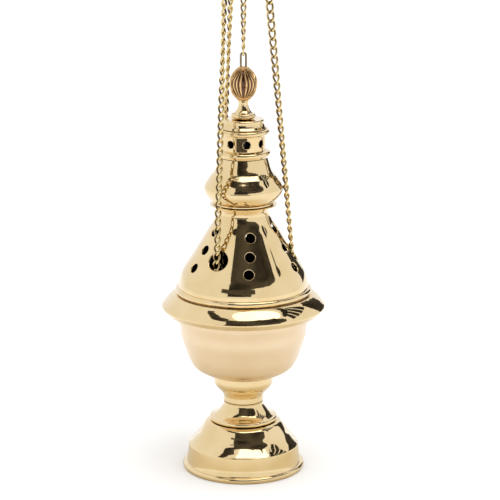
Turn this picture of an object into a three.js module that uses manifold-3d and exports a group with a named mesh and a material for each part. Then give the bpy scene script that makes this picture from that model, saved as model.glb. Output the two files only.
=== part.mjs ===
// Hanging incense burner of polished brass: foot, bowl, pierced lid, three carrying chains and a lid chain.
// Millimetres, +Z up. Pieces are built from the foot's base upward and then hung from the ring's inside top.

import * as THREE from 'three';
import { mergeVertices } from 'three/addons/utils/BufferGeometryUtils.js';
import Module from 'manifold-3d';

const wasm = await Module();
wasm.setup();

// General fits
const seam = 0.3;
const sheet = 1.2;
const lidSheet = 1.0;
const pieceSides = 24;
const smallSides = 8;

// Foot and stem
const footRadius = 38.1;
const footBeadRadius = 1.75;
const footFlat = 1.8;
const footShoulderRadius = 34.3;
const footShoulderHeight = 15.2;
const footHeight = 30.5;
const footTopRadius = 21.6;
const ledgeRadius = 21.2;
const ledgeBead = 1.4;
const stemRadius = 12.4;
const flareHeight = 12.2;
const knobRadius = 18.5;
const knobHeight = 17;

// Clamping screw of foot, stem and bowl
const screwRadius = 2.3;
const screwHeadRadius = 5;
const screwHeadHeight = 3;
const washerRadius = 8;
const washerThickness = 1.2;
const nutHeight = 3.5;
const nutFlats = 9;
const screwProud = 1.2;

// Bowl and its collar
const bowlRadius = 40.8;
const bowlShoulderRadius = 38.8;
const bowlHeight = 52.8;
const collarRadius = 51;
const collarDrop = 8.4;
const collarBandHeight = 6;

// Coal pan
const panRadius = 28;
const panFootRadius = 26;
const panHeight = 12.2;
const panClearance = 1;

// Lid
const lidBeadRadius = 1.85;
const spigotFit = 0.6;
const spigotHeight = 4.4;
const bellHeight = 52.3;
const bellFootRise = 4.1;
const waistRadius = 16.4;
const waistHeight = 50.2;
const lipRadius = 20.9;
const bulgeFootRadius = 18.75;
const bulgeRadius = 24.4;
const bulgeHeight = 9.9;
const neckRadius = 14.9;
const neckHeight = 28.8;
const bandRadius = 13.65;
const lowerBeadRadius = 16.7;
const upperBeadRadius = 16.1;
const lanternHeight = 17.5;
const lanternHoleCount = 8;
const lanternHoleDiameter = 4.6;
const lanternHoleRise = 9.2;
const lanternHoleTurn = 9;
const capRadius = 14.4;
const drumRadius = 12.6;
const capHeight = 5.6;

// Holes in the lid bell, heights above the bowl's rim and bearings from the front, degrees
const chainHoleDiameter = 12.8;
const chainHoleRise = 26.1;
const chainHoleBearing = -30.6;
const ventDiameter = 6.2;
const ventLean = [-2.6, 0, 2.9];
const ventColumns = [
  { bearing: -58.2, rises: [19.4, 30.2, 41] },
  { bearing: 8.2, rises: [19.6, 28.9, 39.4] },
  { bearing: 68, rises: [19.4, 30.6, 42.2] },
  { bearing: 125, rises: [19.4, 29.9, 41] },
  { bearing: 182, rises: [19.4, 29.9, 41] },
  { bearing: 242, rises: [19.4, 29.9, 41] },
];

// Finial, its clamping rod and bridge
const rodRadius = 1.3;
const discRadius = 7.6;
const discHeight = 2.4;
const finialNeckRadius = 2.9;
const finialBaseHeight = 10.8;
const budRadius = 8.5;
const budHeight = 21;
const budLobes = 8;
const budLobeDepth = 0.5;
const rodReach = 7.4;
const bridgeWidth = 5;
const bridgeThickness = 1.5;
const bridgeDrop = 7.5;
const rodNutFlats = 5.5;
const rodNutHeight = 2.4;

// Links
const chain = { wire: 0.55, halfWidth: 2.05, pitch: 5.7, weld: 0.2, sides: 4, around: 8 };
const lidChain = { wire: 0.5, halfWidth: 1.6, pitch: 5.1, weld: 0.2, sides: 4, around: 8 };
const linkTwist = Math.PI / 4;
const linkPlay = 0.5;
const carryPlay = 0.75;
const eyeLinkWire = 0.55;
const eyeLinkHalfWidth = 1.65;
const eyeLinkHalfLength = 5.6;
const eyeLinkSink = 3.2;

// Lugs inside the bowl's rim
const lugRadius = 32.9;
const lugBearing = -31.5;
const lugEyeRadius = 1.6;
const lugEyeWall = 1.3;
const lugThickness = 1.5;
const lugBackWidth = 11;
const lugBackHeight = 7;
const lugDrop = 0.6;
const rivetRadius = 0.9;
const rivetSpread = 3.6;
const rivetHeadRadius = 1.6;
const rivetHeadHeight = 0.8;

// Handle plate, its eyes and the bow
const plateRadius = 20;
const plateThickness = 1.5;
const plateRimRadius = 1.1;
const plateShift = -1.3;
const plateHoleRadius = 5.2;
const plateEyeRadius = 16.14;
const plateEyeBearing = -37.8;
const eyeRingRadius = 2;
const eyeWire = 0.6;
const eyeShankRadius = 0.8;
const eyeHeadRadius = 1.6;
const eyeHeadHeight = 0.8;
const carryRise = 48.1;
const upperRunRise = 75;
const bowHalfWidth = 13.5;
const bowRod = 1.5;
const bowLegHeight = 48.6;
const bowNutFlats = 6;
const bowNutHeight = 2.5;

// Rings at the top
const pullRingRadius = 6;
const pullRingWire = 0.8;
const jumpRingRadius = 8;
const jumpRingWire = 1.3;
const hangRingRadius = 14;
const hangRingWire = 1.6;

// Heights of the stack, worked out from the sizes above
const flareBase = footHeight + seam;
const knobBase = flareBase + flareHeight + seam;
const bowlBase = knobBase + knobHeight + seam;
const rimHeight = bowlBase + bowlHeight;
const bellBase = rimHeight + seam;
const bulgeBase = bellBase + lidBeadRadius * 2 + bellHeight + seam;
const lanternBase = bulgeBase + neckHeight + seam;
const capBase = lanternBase + lanternHeight + seam;
const finialBase = capBase + capHeight + seam;
const budBase = finialBase + finialBaseHeight + seam;
const budTop = budBase + budHeight;
const bellFoot = bellBase + lidBeadRadius * 2;
const carryHeight = budTop + carryRise;
const kneeHeight = carryHeight - upperRunRise;
const plateBase = carryHeight + 2 * eyeRingRadius + eyeWire + seam;
const plateTop = plateBase + plateThickness;
const pullRingHeight = plateTop + pullRingWire + seam;
const bowTop = plateTop + bowLegHeight + bowHalfWidth;
const jumpRingLow = bowTop - bowRod - jumpRingWire - seam;
const jumpRingHigh = jumpRingLow + 2 * jumpRingRadius;
const hangRingLow = jumpRingHigh - jumpRingWire - hangRingWire - seam;
const hangHeight = hangRingLow + 2 * hangRingRadius - hangRingWire;

const axisZ = new THREE.Vector3(0, 0, 1);
const brass = { color: 0xd9b46a, roughness: 0.12, metalness: 1 };
const paleBrass = { color: 0xe6d3a3, roughness: 0.1, metalness: 1 };
const chainBrass = { color: 0xc9a862, roughness: 0.25, metalness: 1 };
const steel = { color: 0x9a9a98, roughness: 0.4, metalness: 1 };

// Radial direction at a bearing in degrees, 0 towards the front (-Y), growing towards +X
function bearingDirection(bearing) {
  const angle = THREE.MathUtils.degToRad(bearing);
  return new THREE.Vector3(Math.sin(angle), -Math.cos(angle), 0);
}

// Distance from the axis to the flats of a turned piece
function facetRadius(radius) {
  return radius * Math.cos(Math.PI / pieceSides);
}

function pointAt(bearing, radius, height) {
  return bearingDirection(bearing).multiplyScalar(radius).setZ(height);
}

// Tidy a geometry into one closed surface: shared vertices, no collapsed triangles, faces outward
function closed(geometry) {
  const bare = new THREE.BufferGeometry();
  bare.setAttribute('position', geometry.getAttribute('position').clone());
  if (geometry.index) bare.setIndex(geometry.index.clone());
  const merged = mergeVertices(bare, 1e-4);
  const position = merged.getAttribute('position');
  const kept = [];
  let volume = 0;
  const a = new THREE.Vector3();
  const b = new THREE.Vector3();
  const c = new THREE.Vector3();
  for (let i = 0; i < merged.index.count; i += 3) {
    const [p, q, r] = [merged.index.getX(i), merged.index.getX(i + 1), merged.index.getX(i + 2)];
    if (p === q || q === r || r === p) continue;
    kept.push(p, q, r);
    a.fromBufferAttribute(position, p);
    b.fromBufferAttribute(position, q);
    c.fromBufferAttribute(position, r);
    volume += a.dot(b.cross(c));
  }
  if (volume < 0) kept.reverse();
  merged.setIndex(kept);
  return merged;
}

function toSolid(geometry) {
  const surface = closed(geometry);
  const vertProperties = new Float32Array(surface.getAttribute('position').array);
  const triVerts = new Uint32Array(surface.index.array);
  return new wasm.Manifold(new wasm.Mesh({ numProp: 3, vertProperties, triVerts }));
}

function toGeometry(solid) {
  const mesh = solid.getMesh();
  const geometry = new THREE.BufferGeometry();
  geometry.setAttribute('position', new THREE.BufferAttribute(new Float32Array(mesh.vertProperties), 3));
  geometry.setIndex(new THREE.BufferAttribute(new Uint32Array(mesh.triVerts), 1));
  return closed(geometry);
}

function joined(geometries) {
  return toGeometry(geometries.map(toSolid).reduce((whole, next) => whole.add(next)));
}

function cut(geometry, tools) {
  return toGeometry(tools.map(toSolid).reduce((whole, tool) => whole.subtract(tool), toSolid(geometry)));
}

// A solid of revolution about Z from [radius, height] pairs
function turned(outline, sides = pieceSides) {
  const points = outline.map(([radius, height]) => new THREE.Vector2(radius, height));
  return closed(new THREE.LatheGeometry(points, sides).rotateX(Math.PI / 2));
}

function turnedRing(outline, sides = pieceSides) {
  return turned([...outline, outline[0]], sides);
}

// A smooth line through [radius, height] pairs
function smooth(pairs, steps) {
  const curve = new THREE.SplineCurve(pairs.map(([radius, height]) => new THREE.Vector2(radius, height)));
  return curve.getPoints(steps).map((point) => [point.x, point.y]);
}

function arc(radius, height, size, from, to, steps) {
  const points = [];
  for (let i = 0; i <= steps; i += 1) {
    const angle = THREE.MathUtils.degToRad(from + ((to - from) * i) / steps);
    points.push([radius + size * Math.cos(angle), height + size * Math.sin(angle)]);
  }
  return points;
}

// The line that runs beside an outline, a sheet's thickness nearer the axis when it climbs
function beside(outline, thickness) {
  return outline.map(([radius, height], i) => {
    const before = outline[Math.max(i - 1, 0)];
    const after = outline[Math.min(i + 1, outline.length - 1)];
    const along = new THREE.Vector2(after[0] - before[0], after[1] - before[1]).normalize();
    return [radius - along.y * thickness, height + along.x * thickness];
  });
}

function radiusAt(outline, height) {
  for (let i = 1; i < outline.length; i += 1) {
    const [r0, z0] = outline[i - 1];
    const [r1, z1] = outline[i];
    if ((height - z0) * (height - z1) <= 0 && z0 !== z1) return r0 + ((r1 - r0) * (height - z0)) / (z1 - z0);
  }
  return outline[outline.length - 1][0];
}

function heightAt(outline, radius) {
  return radiusAt(outline.map(([r, z]) => [z, r]), radius);
}

// A round bar between two points
function bar(start, end, radius, sides = smallSides) {
  const along = new THREE.Vector3().subVectors(end, start);
  const geometry = new THREE.CylinderGeometry(radius, radius, along.length(), sides);
  const way = along.clone().normalize();
  const turn = new THREE.Quaternion().setFromUnitVectors(new THREE.Vector3(0, 1, 0), way);
  geometry.applyQuaternion(turn);
  const middle = new THREE.Vector3().addVectors(start, end).multiplyScalar(0.5);
  return geometry.translate(middle.x, middle.y, middle.z);
}

function upright(x, y, low, high, radius, sides = smallSides) {
  return bar(new THREE.Vector3(x, y, low), new THREE.Vector3(x, y, high), radius, sides);
}

// A drill through a turned wall, square to the wall where the hole sits
function wallDrill(outline, bearing, height, radius, sides) {
  const reach = 3;
  const rise = 1;
  const slope = radiusAt(outline, height + rise) - radiusAt(outline, height - rise);
  const outward = bearingDirection(bearing).multiplyScalar(2 * rise).setZ(-slope).normalize();
  const middle = pointAt(bearing, radiusAt(outline, height), height);
  const start = middle.clone().addScaledVector(outward, -reach);
  const end = middle.clone().addScaledVector(outward, reach);
  return bar(start, end, radius, sides);
}

function hexNut(flats, height, bore) {
  const body = new THREE.CylinderGeometry(flats / Math.sqrt(3), flats / Math.sqrt(3), height, 6);
  const hole = new THREE.CylinderGeometry(bore, bore, 2 * height, smallSides);
  return cut(body.rotateX(Math.PI / 2), [hole.rotateX(Math.PI / 2)]);
}

function wireRing(radius, wire, around) {
  return closed(new THREE.TorusGeometry(radius, wire, 6, around));
}

const model = new THREE.Group();
model.position.z = -hangHeight;

function addPiece(name, geometry, look, position = new THREE.Vector3(), rotation = new THREE.Euler()) {
  const mesh = new THREE.Mesh(geometry, new THREE.MeshStandardMaterial(look));
  mesh.name = name;
  mesh.position.copy(position);
  mesh.rotation.copy(rotation);
  model.add(mesh);
}

// Foot
const footWall = [
  [footRadius - 2.5, 2 * footBeadRadius + 0.2],
  [footRadius - 3, 8],
  [footShoulderRadius, footShoulderHeight],
  ...smooth([
    [footShoulderRadius - 2.5, footShoulderHeight + 2.4],
    [footShoulderRadius - 5.8, footShoulderHeight + 6.3],
    [footTopRadius + 4.7, footHeight - 5],
    [footTopRadius + 2.1, footHeight - 1.2],
    [footTopRadius, footHeight],
  ], 4),
];

function footShell() {
  const bead = arc(footRadius - footBeadRadius, footBeadRadius, footBeadRadius, -58, 110, 3);
  const inside = beside(footWall, sheet).slice(0, -2).reverse();
  const bore = screwRadius + seam;
  const bottom = [footRadius - footBeadRadius - footFlat / 2, 0];
  const outline = [
    bottom,
    [bottom[0] + footFlat, 0],
    ...bead,
    ...footWall,
    [bore, footHeight],
    [bore, footHeight - sheet],
    [footTopRadius - sheet, footHeight - sheet],
    ...inside,
    [footRadius - 2 * footBeadRadius, footBeadRadius],
  ];
  return turnedRing(outline);
}

function stemFlare() {
  const bore = screwRadius + seam;
  const top = flareBase + flareHeight;
  return turnedRing([
    [bore, flareBase],
    ...arc(ledgeRadius - ledgeBead, flareBase + ledgeBead, ledgeBead, -90, 60, 4),
    ...smooth([
      [ledgeRadius - 1.9, flareBase + 2 * ledgeBead],
      [ledgeRadius - 4.7, flareBase + 2 * ledgeBead + 2],
      [stemRadius + 1.5, flareBase + 8],
      [stemRadius, top - 1.8],
      [stemRadius, top],
    ], 5),
    [bore, top],
  ]);
}

function stemKnob() {
  const bore = screwRadius + seam;
  const top = knobBase + knobHeight;
  return turnedRing([
    [bore, knobBase],
    [stemRadius, knobBase],
    ...smooth([
      [stemRadius, knobBase + 3.4],
      [stemRadius + 1.3, knobBase + 5.8],
      [knobRadius - 1.2, knobBase + 9.8],
      [knobRadius, knobBase + 12.6],
      [knobRadius, top],
    ], 8),
    [bore, top],
  ]);
}

// Clamping screw
const footWasherBase = footHeight - sheet - seam - washerThickness;
const screwHeadTop = footWasherBase - seam;
const bowlFloor = bowlBase + sheet;
const bowlNutBase = bowlFloor + seam;
const screwTop = bowlNutBase + nutHeight + screwProud;

function footWasher() {
  const bore = screwRadius + seam;
  const top = footWasherBase + washerThickness;
  return turnedRing([
    [bore, footWasherBase], [washerRadius, footWasherBase], [washerRadius, top], [bore, top],
  ], 16);
}

function footScrew() {
  const low = screwHeadTop - screwHeadHeight;
  return turned([
    [0, low],
    [screwHeadRadius - 1, low],
    [screwHeadRadius, low + 1],
    [screwHeadRadius, screwHeadTop],
    [screwRadius, screwHeadTop],
    [screwRadius, screwTop],
    [0, screwTop],
  ], 12);
}

// Bowl
const bowlOutline = [
  ...smooth([
    [knobRadius, bowlBase],
    [knobRadius + 3, bowlBase + 0.5],
    [bowlShoulderRadius - 9, bowlBase + 4.9],
    [bowlShoulderRadius - 5, bowlBase + 10.8],
    [bowlShoulderRadius - 1.9, bowlBase + 19.6],
    [bowlShoulderRadius, bowlBase + 25.8],
    [bowlShoulderRadius + 0.6, bowlBase + 31.2],
    [bowlRadius, bowlBase + 36.7],
  ], 7),
  [bowlRadius, rimHeight],
];
const bowlInside = beside(bowlOutline, sheet);
const lugBearings = [lugBearing, lugBearing + 120, lugBearing + 240];

function bowl() {
  const bore = screwRadius + seam;
  const inside = bowlInside.slice(1, -1).reverse();
  const shell = turnedRing([
    [bore, bowlBase],
    ...bowlOutline,
    [bowlRadius - sheet, rimHeight],
    ...inside,
    [bore, bowlFloor],
  ]);
  return cut(shell, lugBearings.flatMap((bearing) => rivetDrills(bearing)));
}

function bowlCollar() {
  const inner = bowlRadius + seam;
  const band = inner + sheet;
  const skirt = [
    [inner + 2, rimHeight],
    [inner + 4.2, rimHeight - 1.3],
    [collarRadius - 0.6, rimHeight - 6.5],
    ...arc(collarRadius - 1.3, rimHeight - collarDrop + 0.2, 1.3, 30, -45, 2),
    [collarRadius - 2.3, rimHeight - collarDrop - 3.3],
  ];
  // The skirt is walked from its top down, so its inner line lies on the other side
  const under = beside(skirt, -sheet).reverse();
  return turnedRing([
    [inner, rimHeight - collarBandHeight],
    [inner, rimHeight],
    ...skirt,
    ...under.slice(0, -1),
    [band, rimHeight - sheet],
    [band, rimHeight - collarBandHeight],
  ]);
}

// Coal pan, standing on the bowl's curved floor
function coalPan() {
  const floor = screwTop + panClearance;
  const footLow = heightAt(bowlInside, panFootRadius) + 2 * seam;
  const top = floor + panHeight;
  return turned([
    [0, floor],
    [panFootRadius - sheet, floor],
    [panFootRadius - sheet, footLow],
    [panFootRadius, footLow],
    [panFootRadius, floor + sheet],
    [panRadius, top],
    [panRadius - sheet, top],
    [panFootRadius - sheet, floor + sheet],
    [0, floor + sheet],
  ], 24);
}

// Lugs: a bent plate on the bowl's inside with an upright eye for the chain
const lugTop = rimHeight - spigotHeight - lugDrop;
const lugEyeHeight = lugTop - lugEyeRadius - lugEyeWall;
const lugPivotHeight = lugEyeHeight + lugEyeRadius;
const lugBackRadius = facetRadius(bowlRadius - sheet) - seam;
const rivetHeight = lugTop - lugBackHeight / 2;

function rivetLine(bearing, side) {
  const radial = bearingDirection(bearing);
  const across = new THREE.Vector3().crossVectors(axisZ, radial);
  const foot = across.multiplyScalar(side * rivetSpread).setZ(rivetHeight);
  return { foot, radial };
}

function rivetDrills(bearing) {
  return [-1, 1].map((side) => {
    const { foot, radial } = rivetLine(bearing, side);
    const start = foot.clone().addScaledVector(radial, lugBackRadius - 4);
    const end = foot.clone().addScaledVector(radial, bowlRadius + 2);
    return bar(start, end, rivetRadius + seam);
  });
}

function lug(bearing) {
  const low = lugTop - lugBackHeight;
  const back = turnedRing([
    [lugBackRadius - sheet, low],
    [lugBackRadius, low],
    [lugBackRadius, lugTop],
    [lugBackRadius - sheet, lugTop],
  ], 48);
  const box = new THREE.BoxGeometry(20, lugBackWidth, 3 * lugBackHeight);
  box.translate(lugBackRadius, 0, lugTop);
  const plate = toGeometry(toSolid(back).intersect(toSolid(box)));
  const eyeOuter = lugEyeRadius + lugEyeWall;
  const outline = new THREE.Shape();
  outline.absarc(lugRadius, lugEyeHeight, eyeOuter, Math.PI / 2, 1.5 * Math.PI, false);
  outline.lineTo(lugBackRadius - sheet / 2, lugEyeHeight - eyeOuter);
  outline.lineTo(lugBackRadius - sheet / 2, lugTop);
  const hole = new THREE.Path();
  hole.absarc(lugRadius, lugEyeHeight, lugEyeRadius, 0, 2 * Math.PI, true);
  outline.holes.push(hole);
  const pressing = { depth: lugThickness, bevelEnabled: false, curveSegments: 4 };
  const tab = new THREE.ExtrudeGeometry(outline, pressing);
  tab.translate(0, 0, -lugThickness / 2).rotateX(Math.PI / 2);
  const whole = joined([plate, tab]);
  whole.rotateZ(THREE.MathUtils.degToRad(bearing - 90));
  return cut(whole, rivetDrills(bearing));
}

// A rivet from the lug's face through the bowl's wall, with a head at each end
function lugRivet(bearing, side) {
  const { foot, radial } = rivetLine(bearing, side);
  const chord = Math.sqrt(bowlRadius ** 2 - (rivetSpread - rivetHeadRadius) ** 2);
  const innerFace = Math.sqrt((lugBackRadius - sheet) ** 2 - (rivetSpread + rivetHeadRadius) ** 2) - seam;
  const outerFace = chord + seam;
  const rivet = turned([
    [0, innerFace - rivetHeadHeight],
    [rivetHeadRadius - 0.5, innerFace - rivetHeadHeight],
    [rivetHeadRadius, innerFace],
    [rivetRadius, innerFace],
    [rivetRadius, outerFace],
    [rivetHeadRadius, outerFace],
    [rivetHeadRadius - 0.5, outerFace + rivetHeadHeight],
    [0, outerFace + rivetHeadHeight],
  ], 6);
  const turn = new THREE.Quaternion().setFromUnitVectors(axisZ, radial);
  return closed(rivet.applyQuaternion(turn).translate(foot.x, foot.y, foot.z));
}

// Lid bell
const bellRadius = bowlRadius - 0.5;
const bellOutline = smooth([
  [bellRadius, bellFoot],
  [bellRadius - 0.2, bellFoot + bellFootRise * 0.8],
  [bellRadius - 2.5, bellFoot + 10.4],
  [bellRadius - 7.9, bellFoot + 18.9],
  [bellRadius - 13.6, bellFoot + 28],
  [waistRadius + 5.7, bellFoot + waistHeight - 14.5],
  [waistRadius + 1.5, bellFoot + waistHeight - 8.2],
  [waistRadius, bellFoot + waistHeight - 4],
  [waistRadius + 0.4, bellFoot + waistHeight - 1.6],
  [lipRadius - 2.4, bellFoot + bellHeight - 1.9],
  [lipRadius, bellFoot + bellHeight - 0.3],
], 10);
const bellInside = beside(bellOutline, lidSheet);
const chainHoleBearings = [chainHoleBearing, chainHoleBearing + 120, chainHoleBearing + 240];

function lidBell() {
  const spigotOuter = bowlRadius - sheet - spigotFit;
  const spigotLow = rimHeight - spigotHeight;
  const beadCentre = bellRadius + 0.2;
  const bead = arc(beadCentre, bellBase + lidBeadRadius, lidBeadRadius, -90, 90, 4);
  const top = bellFoot + bellHeight;
  const throat = waistRadius - lidSheet;
  const inside = bellInside.filter(([, height]) => height < bellFoot + waistHeight - 3.5).reverse();
  const shell = turnedRing([
    [spigotOuter - lidSheet, spigotLow],
    [spigotOuter, spigotLow],
    [spigotOuter, bellBase],
    ...bead,
    ...bellOutline,
    [lipRadius - 0.6, top],
    [throat, top],
    ...inside,
    [spigotOuter - lidSheet, bellFoot],
  ]);
  const chainHoles = chainHoleBearings.map((bearing) => (
    wallDrill(bellOutline, bearing, rimHeight + chainHoleRise, chainHoleDiameter / 2, 12)
  ));
  const vents = ventColumns.flatMap(({ bearing, rises }) => rises.map((rise, row) => (
    wallDrill(bellOutline, bearing + ventLean[row], rimHeight + rise, ventDiameter / 2, 6)
  )));
  return cut(shell, [...chainHoles, ...vents]);
}

function lidBulge() {
  const top = bulgeBase + neckHeight;
  const outline = [
    [bulgeFootRadius, bulgeBase],
    ...smooth([
      [bulgeFootRadius, bulgeBase + 0.9],
      [bulgeRadius - 2.6, bulgeBase + 3.5],
      [bulgeRadius, bulgeBase + bulgeHeight],
      [bulgeRadius - 3.9, bulgeBase + 16.9],
      [bulgeRadius - 5.8, bulgeBase + 19],
      [neckRadius + 2.3, bulgeBase + 21.1],
      [neckRadius + 1, bulgeBase + 25.4],
      [neckRadius, top],
    ], 8),
  ];
  return turnedRing([...outline, ...beside(outline, lidSheet).reverse()]);
}

function lidLantern() {
  const inner = bandRadius - sheet;
  const top = lanternBase + lanternHeight;
  const low = lanternBase + 2.5;
  const high = top - 1.7;
  const shell = turnedRing([
    [inner, lanternBase],
    [neckRadius + 0.2, lanternBase],
    ...arc(lowerBeadRadius - 1.6, low, 1.6, -60, 80, 3),
    [bandRadius, low + 2.2],
    [bandRadius, high - 2.1],
    ...arc(upperBeadRadius - 1.5, high, 1.5, -80, 80, 3),
    [upperBeadRadius - 1.7, top],
    [inner, top],
  ]);
  const drills = [];
  for (let i = 0; i < lanternHoleCount; i += 1) {
    const radial = bearingDirection(lanternHoleTurn + (360 * i) / lanternHoleCount);
    const start = radial.clone().multiplyScalar(inner - 2).setZ(lanternBase + lanternHoleRise);
    const end = radial.clone().multiplyScalar(bandRadius + 2).setZ(lanternBase + lanternHoleRise);
    drills.push(bar(start, end, lanternHoleDiameter / 2, 6));
  }
  return cut(shell, drills);
}

function lidCap() {
  const bore = rodRadius + seam;
  const top = capBase + capHeight;
  return turnedRing([
    [bore, capBase],
    [capRadius, capBase],
    [capRadius, capBase + 0.4],
    [drumRadius + 0.5, capBase + 1.6],
    [drumRadius, capBase + 2.8],
    [drumRadius, top - 0.7],
    [drumRadius - 0.5, top],
    [bore, top],
  ], 24);
}

// Clamping rod of the lid, with a bridge that bears under the bell's waist
const bridgeTop = bellFoot + waistHeight - bridgeDrop;
const rodTop = budBase + rodReach;

function lidBridge() {
  const reach = radiusAt(bellInside, bridgeTop) - seam;
  const slab = new THREE.BoxGeometry(2 * reach, bridgeWidth, bridgeThickness);
  slab.translate(0, 0, bridgeTop - bridgeThickness / 2);
  const round = upright(0, 0, bridgeTop - 3, bridgeTop + 3, reach, 32);
  const shaped = toGeometry(toSolid(slab).intersect(toSolid(round)));
  return cut(shaped, [upright(0, 0, bridgeTop - 3, bridgeTop + 3, rodRadius + seam)]);
}

const rodNutTop = bridgeTop - bridgeThickness - seam;

function lidRod() {
  return closed(upright(0, 0, rodNutTop - rodNutHeight - 1, rodTop, rodRadius, 10));
}

function finialStem() {
  const bore = rodRadius + seam;
  const top = finialBase + finialBaseHeight;
  return turnedRing([
    [bore, finialBase],
    ...arc(discRadius - discHeight / 2, finialBase + discHeight / 2, discHeight / 2, -90, 90, 5),
    ...smooth([
      [discRadius - 1.9, finialBase + discHeight + 1.5],
      [finialNeckRadius + 1.4, finialBase + discHeight + 3.4],
      [finialNeckRadius, finialBase + discHeight + 6.9],
      [finialNeckRadius + 0.6, top],
    ], 6),
    [bore, top],
  ], 20);
}

// The bud has soft lobes, a blind bore for the rod and a tunnel for its wire link
function finialBud() {
  const outline = smooth([
    [finialNeckRadius + 0.7, budBase],
    [budRadius - 1.8, budBase + 3.5],
    [budRadius - 0.3, budBase + 7.5],
    [budRadius, budBase + 11],
    [budRadius - 0.9, budBase + 14.3],
    [budRadius - 3.2, budTop - 3],
    [budRadius - 6.1, budTop - 0.6],
  ], 9);
  const body = turned([[0, budBase], ...outline, [0, budTop]], 3 * budLobes);
  const position = body.getAttribute('position');
  for (let i = 0; i < position.count; i += 1) {
    const angle = Math.atan2(position.getY(i), position.getX(i));
    const swell = Math.sin((Math.PI * (position.getZ(i) - budBase)) / budHeight);
    const dip = budLobeDepth * (1 - Math.abs(Math.cos((budLobes * angle) / 2))) * Math.max(swell, 0);
    const scale = 1 - dip / budRadius;
    position.setX(i, position.getX(i) * scale);
    position.setY(i, position.getY(i) * scale);
  }
  const bore = upright(0, 0, budBase - 1, rodTop + seam, rodRadius + seam, 10);
  const tunnel = eyeLinkShape(eyeLinkWire + seam).translate(0, 0, eyeLinkHeight);
  return cut(body, [bore, tunnel]);
}

// A racetrack of wire in the XZ plane
function eyeLinkShape(wire) {
  const ring = new THREE.TorusGeometry(eyeLinkHalfWidth, wire, 5, 10);
  const position = ring.getAttribute('position');
  const stretch = eyeLinkHalfLength - eyeLinkHalfWidth;
  for (let i = 0; i < position.count; i += 1) {
    position.setY(i, position.getY(i) + Math.sign(Math.round(position.getY(i) * 100)) * stretch);
  }
  return closed(ring.rotateX(Math.PI / 2));
}

const eyeLinkHeight = budTop - eyeLinkSink + eyeLinkHalfLength;
const eyeLinkTop = eyeLinkHeight + eyeLinkHalfLength;

// One link of a curb chain, long way up along Y: its ends are turned against each other
function curbLink(size, twistLow, twistHigh) {
  const halfLength = wireHalfLength(size);
  const stretch = halfLength - size.halfWidth;
  const link = new THREE.TorusGeometry(size.halfWidth, size.wire * 1.1, size.sides, size.around);
  const position = link.getAttribute('position');
  for (let i = 0; i < position.count; i += 1) {
    const x = position.getX(i);
    const height = position.getY(i) + Math.sign(Math.round(position.getY(i) * 10)) * stretch;
    const z = position.getZ(i);
    const share = THREE.MathUtils.clamp(height / halfLength, -1, 1);
    const angle = share < 0 ? share * twistLow : share * twistHigh;
    const turnedX = x * Math.cos(angle) + z * Math.sin(angle);
    const turnedZ = z * Math.cos(angle) - x * Math.sin(angle);
    position.setXYZ(i, turnedX, height, turnedZ);
  }
  return closed(link);
}

function wireHalfLength(size) {
  return (size.pitch + 2 * size.wire - size.weld) / 2;
}

// The middle links of a run: a pierced band with a waist between each two links, turning as it climbs
function linkBand(size, count, pitch, turnPerLink) {
  const outer = size.halfWidth + size.wire;
  const waist = outer - size.wire;
  const low = -wireHalfLength(size) - size.wire;
  const high = (count - 1) * pitch - low;
  const shape = new THREE.Shape();
  shape.moveTo(-waist, low);
  shape.lineTo(waist, low);
  for (let i = 0; i < count; i += 1) {
    shape.lineTo(outer, i * pitch);
    shape.lineTo(waist, i === count - 1 ? high : (i + 0.5) * pitch);
  }
  for (let i = count - 1; i >= 0; i -= 1) {
    shape.lineTo(-waist, i === count - 1 ? high : (i + 0.5) * pitch);
    shape.lineTo(-outer, i * pitch);
  }
  const holeWidth = size.halfWidth - size.wire;
  const holeHeight = pitch / 2 - 2 * size.wire;
  for (let i = 0; i < count; i += 1) {
    const hole = new THREE.Path();
    hole.moveTo(0, i * pitch - holeHeight);
    hole.lineTo(-holeWidth, i * pitch);
    hole.lineTo(0, i * pitch + holeHeight);
    hole.lineTo(holeWidth, i * pitch);
    shape.holes.push(hole);
  }
  const thickness = 4 * size.wire;
  const band = new THREE.ExtrudeGeometry(shape, { depth: thickness, bevelEnabled: false });
  band.translate(0, 0, -thickness / 2);
  const position = band.getAttribute('position');
  for (let i = 0; i < position.count; i += 1) {
    const angle = (turnPerLink * position.getY(i)) / pitch;
    const [x, z] = [position.getX(i), position.getZ(i)];
    position.setX(i, x * Math.cos(angle) + z * Math.sin(angle));
    position.setZ(i, z * Math.cos(angle) - x * Math.sin(angle));
  }
  return closed(band);
}

// A run of links between two wire centres, lying across at its start and turned by its end
function chainRun(size, start, end, across, turn, plainStart, plainEnd) {
  const along = new THREE.Vector3().subVectors(end, start);
  const halfLength = wireHalfLength(size);
  const span = along.length() - 2 * halfLength;
  const steps = Math.round(span / size.pitch);
  const pitch = span / steps;
  const first = curbLink(size, plainStart ? 0 : linkTwist, linkTwist);
  const band = linkBand(size, steps - 1, pitch, turn / steps).rotateY(turn / steps);
  const last = curbLink(size, linkTwist, plainEnd ? 0 : linkTwist).rotateY(turn);
  first.translate(0, halfLength, 0);
  band.translate(0, halfLength + pitch, 0);
  last.translate(0, halfLength + span, 0);
  const up = along.clone().normalize();
  const side = across.clone().addScaledVector(up, -across.dot(up)).normalize();
  const frame = new THREE.Matrix4().makeBasis(side, up, new THREE.Vector3().crossVectors(side, up));
  return joined([first, band, last]).applyMatrix4(frame).translate(start.x, start.y, start.z);
}

// The three carrying chains
const plateEyeBearings = [plateEyeBearing, plateEyeBearing + 120, plateEyeBearing + 240];
const kneeGap = chain.wire + linkPlay / 2;
const lugGap = chain.wire + linkPlay;
const carryGap = chain.wire + eyeWire + carryPlay;

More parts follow.
